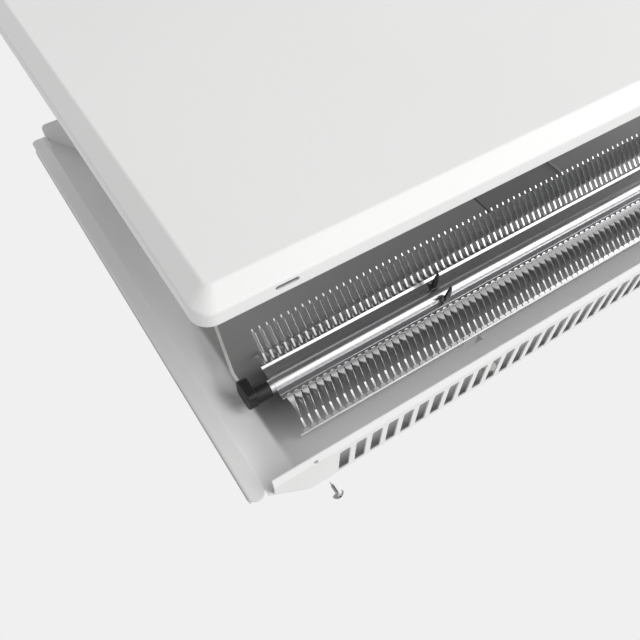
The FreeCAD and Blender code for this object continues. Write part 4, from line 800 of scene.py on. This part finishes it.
dress(moulded_plastic("box_grey", (0.20, 0.205, 0.21), (0.25, 0.255, 0.26), roughness=0.5),
      "control_box", "thermostat_body")
dress(moulded_plastic("plate_white", *plug_tints, plug_roughness, marks=dial_marks), "control_plate")
dress(moulded_plastic("knob_white", (0.70, 0.70, 0.68), (0.76, 0.76, 0.74), roughness=0.25, grain=400.0),
      "thermostat_knob")
dress(moulded_plastic("rocker_black", (0.010, 0.010, 0.011), (0.018, 0.018, 0.019), roughness=0.25,
                      grain=500.0), "switch_body", "switch_rocker")
dress(tinted_lens("lens_red", (0.55, 0.03, 0.015), (0.65, 0.05, 0.02)), "indicator_lens")


# Front panel: one dished pressing of 1 mm sheet steel with a sloping border and a plain lip all round,
# powder coated satin white outside; it is stored drawn off to the front.

inside_start = 0.1
inside_full = 0.4


def panel_inside_shade(tree):
    """The panel's inner side is painted grey: painted shade."""
    facing = places(tree)[-1]
    return ramp(tree, facing, inside_start, inside_full)


# The grey on the panel's inner side is painted shade.
dress(sprayed_paint("panel_white", (0.82, 0.82, 0.815), (0.85, 0.85, 0.845), roughness=0.50,
                    shade_mask=panel_inside_shade, shade_colour=(0.31, 0.31, 0.314)), "front_panel")


# Studio: the photograph's viewpoint low in front of the heater's left end, a pale floor well below,
# two broad lamps, from the right front and from below, and an even surround.

camera_data = bpy.data.cameras.new("photo_camera")
camera_data.lens = 37.07
camera_data.sensor_width = 36.0
camera_data.shift_x = 0.01934
camera_data.shift_y = 0.0396
camera_data.clip_start = 0.01
camera = bpy.data.objects.new("photo_camera", camera_data)
view_point = Vector((-0.40945, -0.45028, -0.33800))
view_right = Vector((0.84350, 0.0, -0.53712))
view_up = Vector((0.44780, -0.55221, 0.70323))
view_back = Vector((-0.29661, -0.83370, -0.46579))
view_turn = Matrix((view_right, view_up, view_back)).transposed().to_4x4()
camera.matrix_world = Matrix.Translation(view_point) @ view_turn
bpy.context.scene.collection.objects.link(camera)
bpy.context.scene.camera = camera

floor_size = 14.0
floor_height = -2.9
floor_cloud = 3.0
bpy.ops.object.select_all(action="DESELECT")
bpy.ops.mesh.primitive_plane_add(size=floor_size, location=(0.0, 0.0, floor_height))
floor = bpy.context.object
floor.name = "floor"
floor_finish, floor_tree, floor_surface = new_finish("floor_pale")
floor_colour = tinted(floor_tree, noise(floor_tree, floor_cloud), (0.78, 0.78, 0.78), (0.80, 0.80, 0.80))
floor_colour.feed(floor_surface["Base Color"])
floor_surface["Roughness"].default_value = 0.9
floor.data.materials.append(floor_finish)

for lamp_name, energy, width, distance, direction in (("front_lamp", 58.0, 3.2, 3.0, (0.62, -0.64, -0.45)),
                                                      ("low_lamp", 7.0, 2.0, 1.5, (0.15, -0.20, -0.97))):
    lamp_data = bpy.data.lights.new(lamp_name, "AREA")
    lamp_data.shape = "DISK"
    lamp_data.size = width
    lamp_data.energy = energy
    lamp = bpy.data.objects.new(lamp_name, lamp_data)
    toward = Vector(direction).normalized()
    lamp.location = toward * distance
    lamp.rotation_euler = toward.to_track_quat("Z", "Y").to_euler()
    lamp.visible_camera = False
    bpy.context.scene.collection.objects.link(lamp)

seen_level = 0.871
light_level = 0.60
world = bpy.data.worlds.new("pale_surround")
bpy.context.scene.world = world
world.use_nodes = True
surround = Shade(world.node_tree)
seen = (surround.node("LightPath", output="Is Camera Ray")
        + surround.node("LightPath", output="Is Glossy Ray")
        + surround.node("LightPath", output="Is Transmission Ray"))
backdrop = world.node_tree.nodes["Background"]
backdrop.inputs["Color"].default_value = (1.0, 1.0, 1.0, 1.0)
strength = surround.math("MINIMUM", seen, 1.0) * (seen_level - light_level) + light_level
strength.feed(backdrop.inputs["Strength"])

bpy.context.scene.view_settings.view_transform = "Standard"
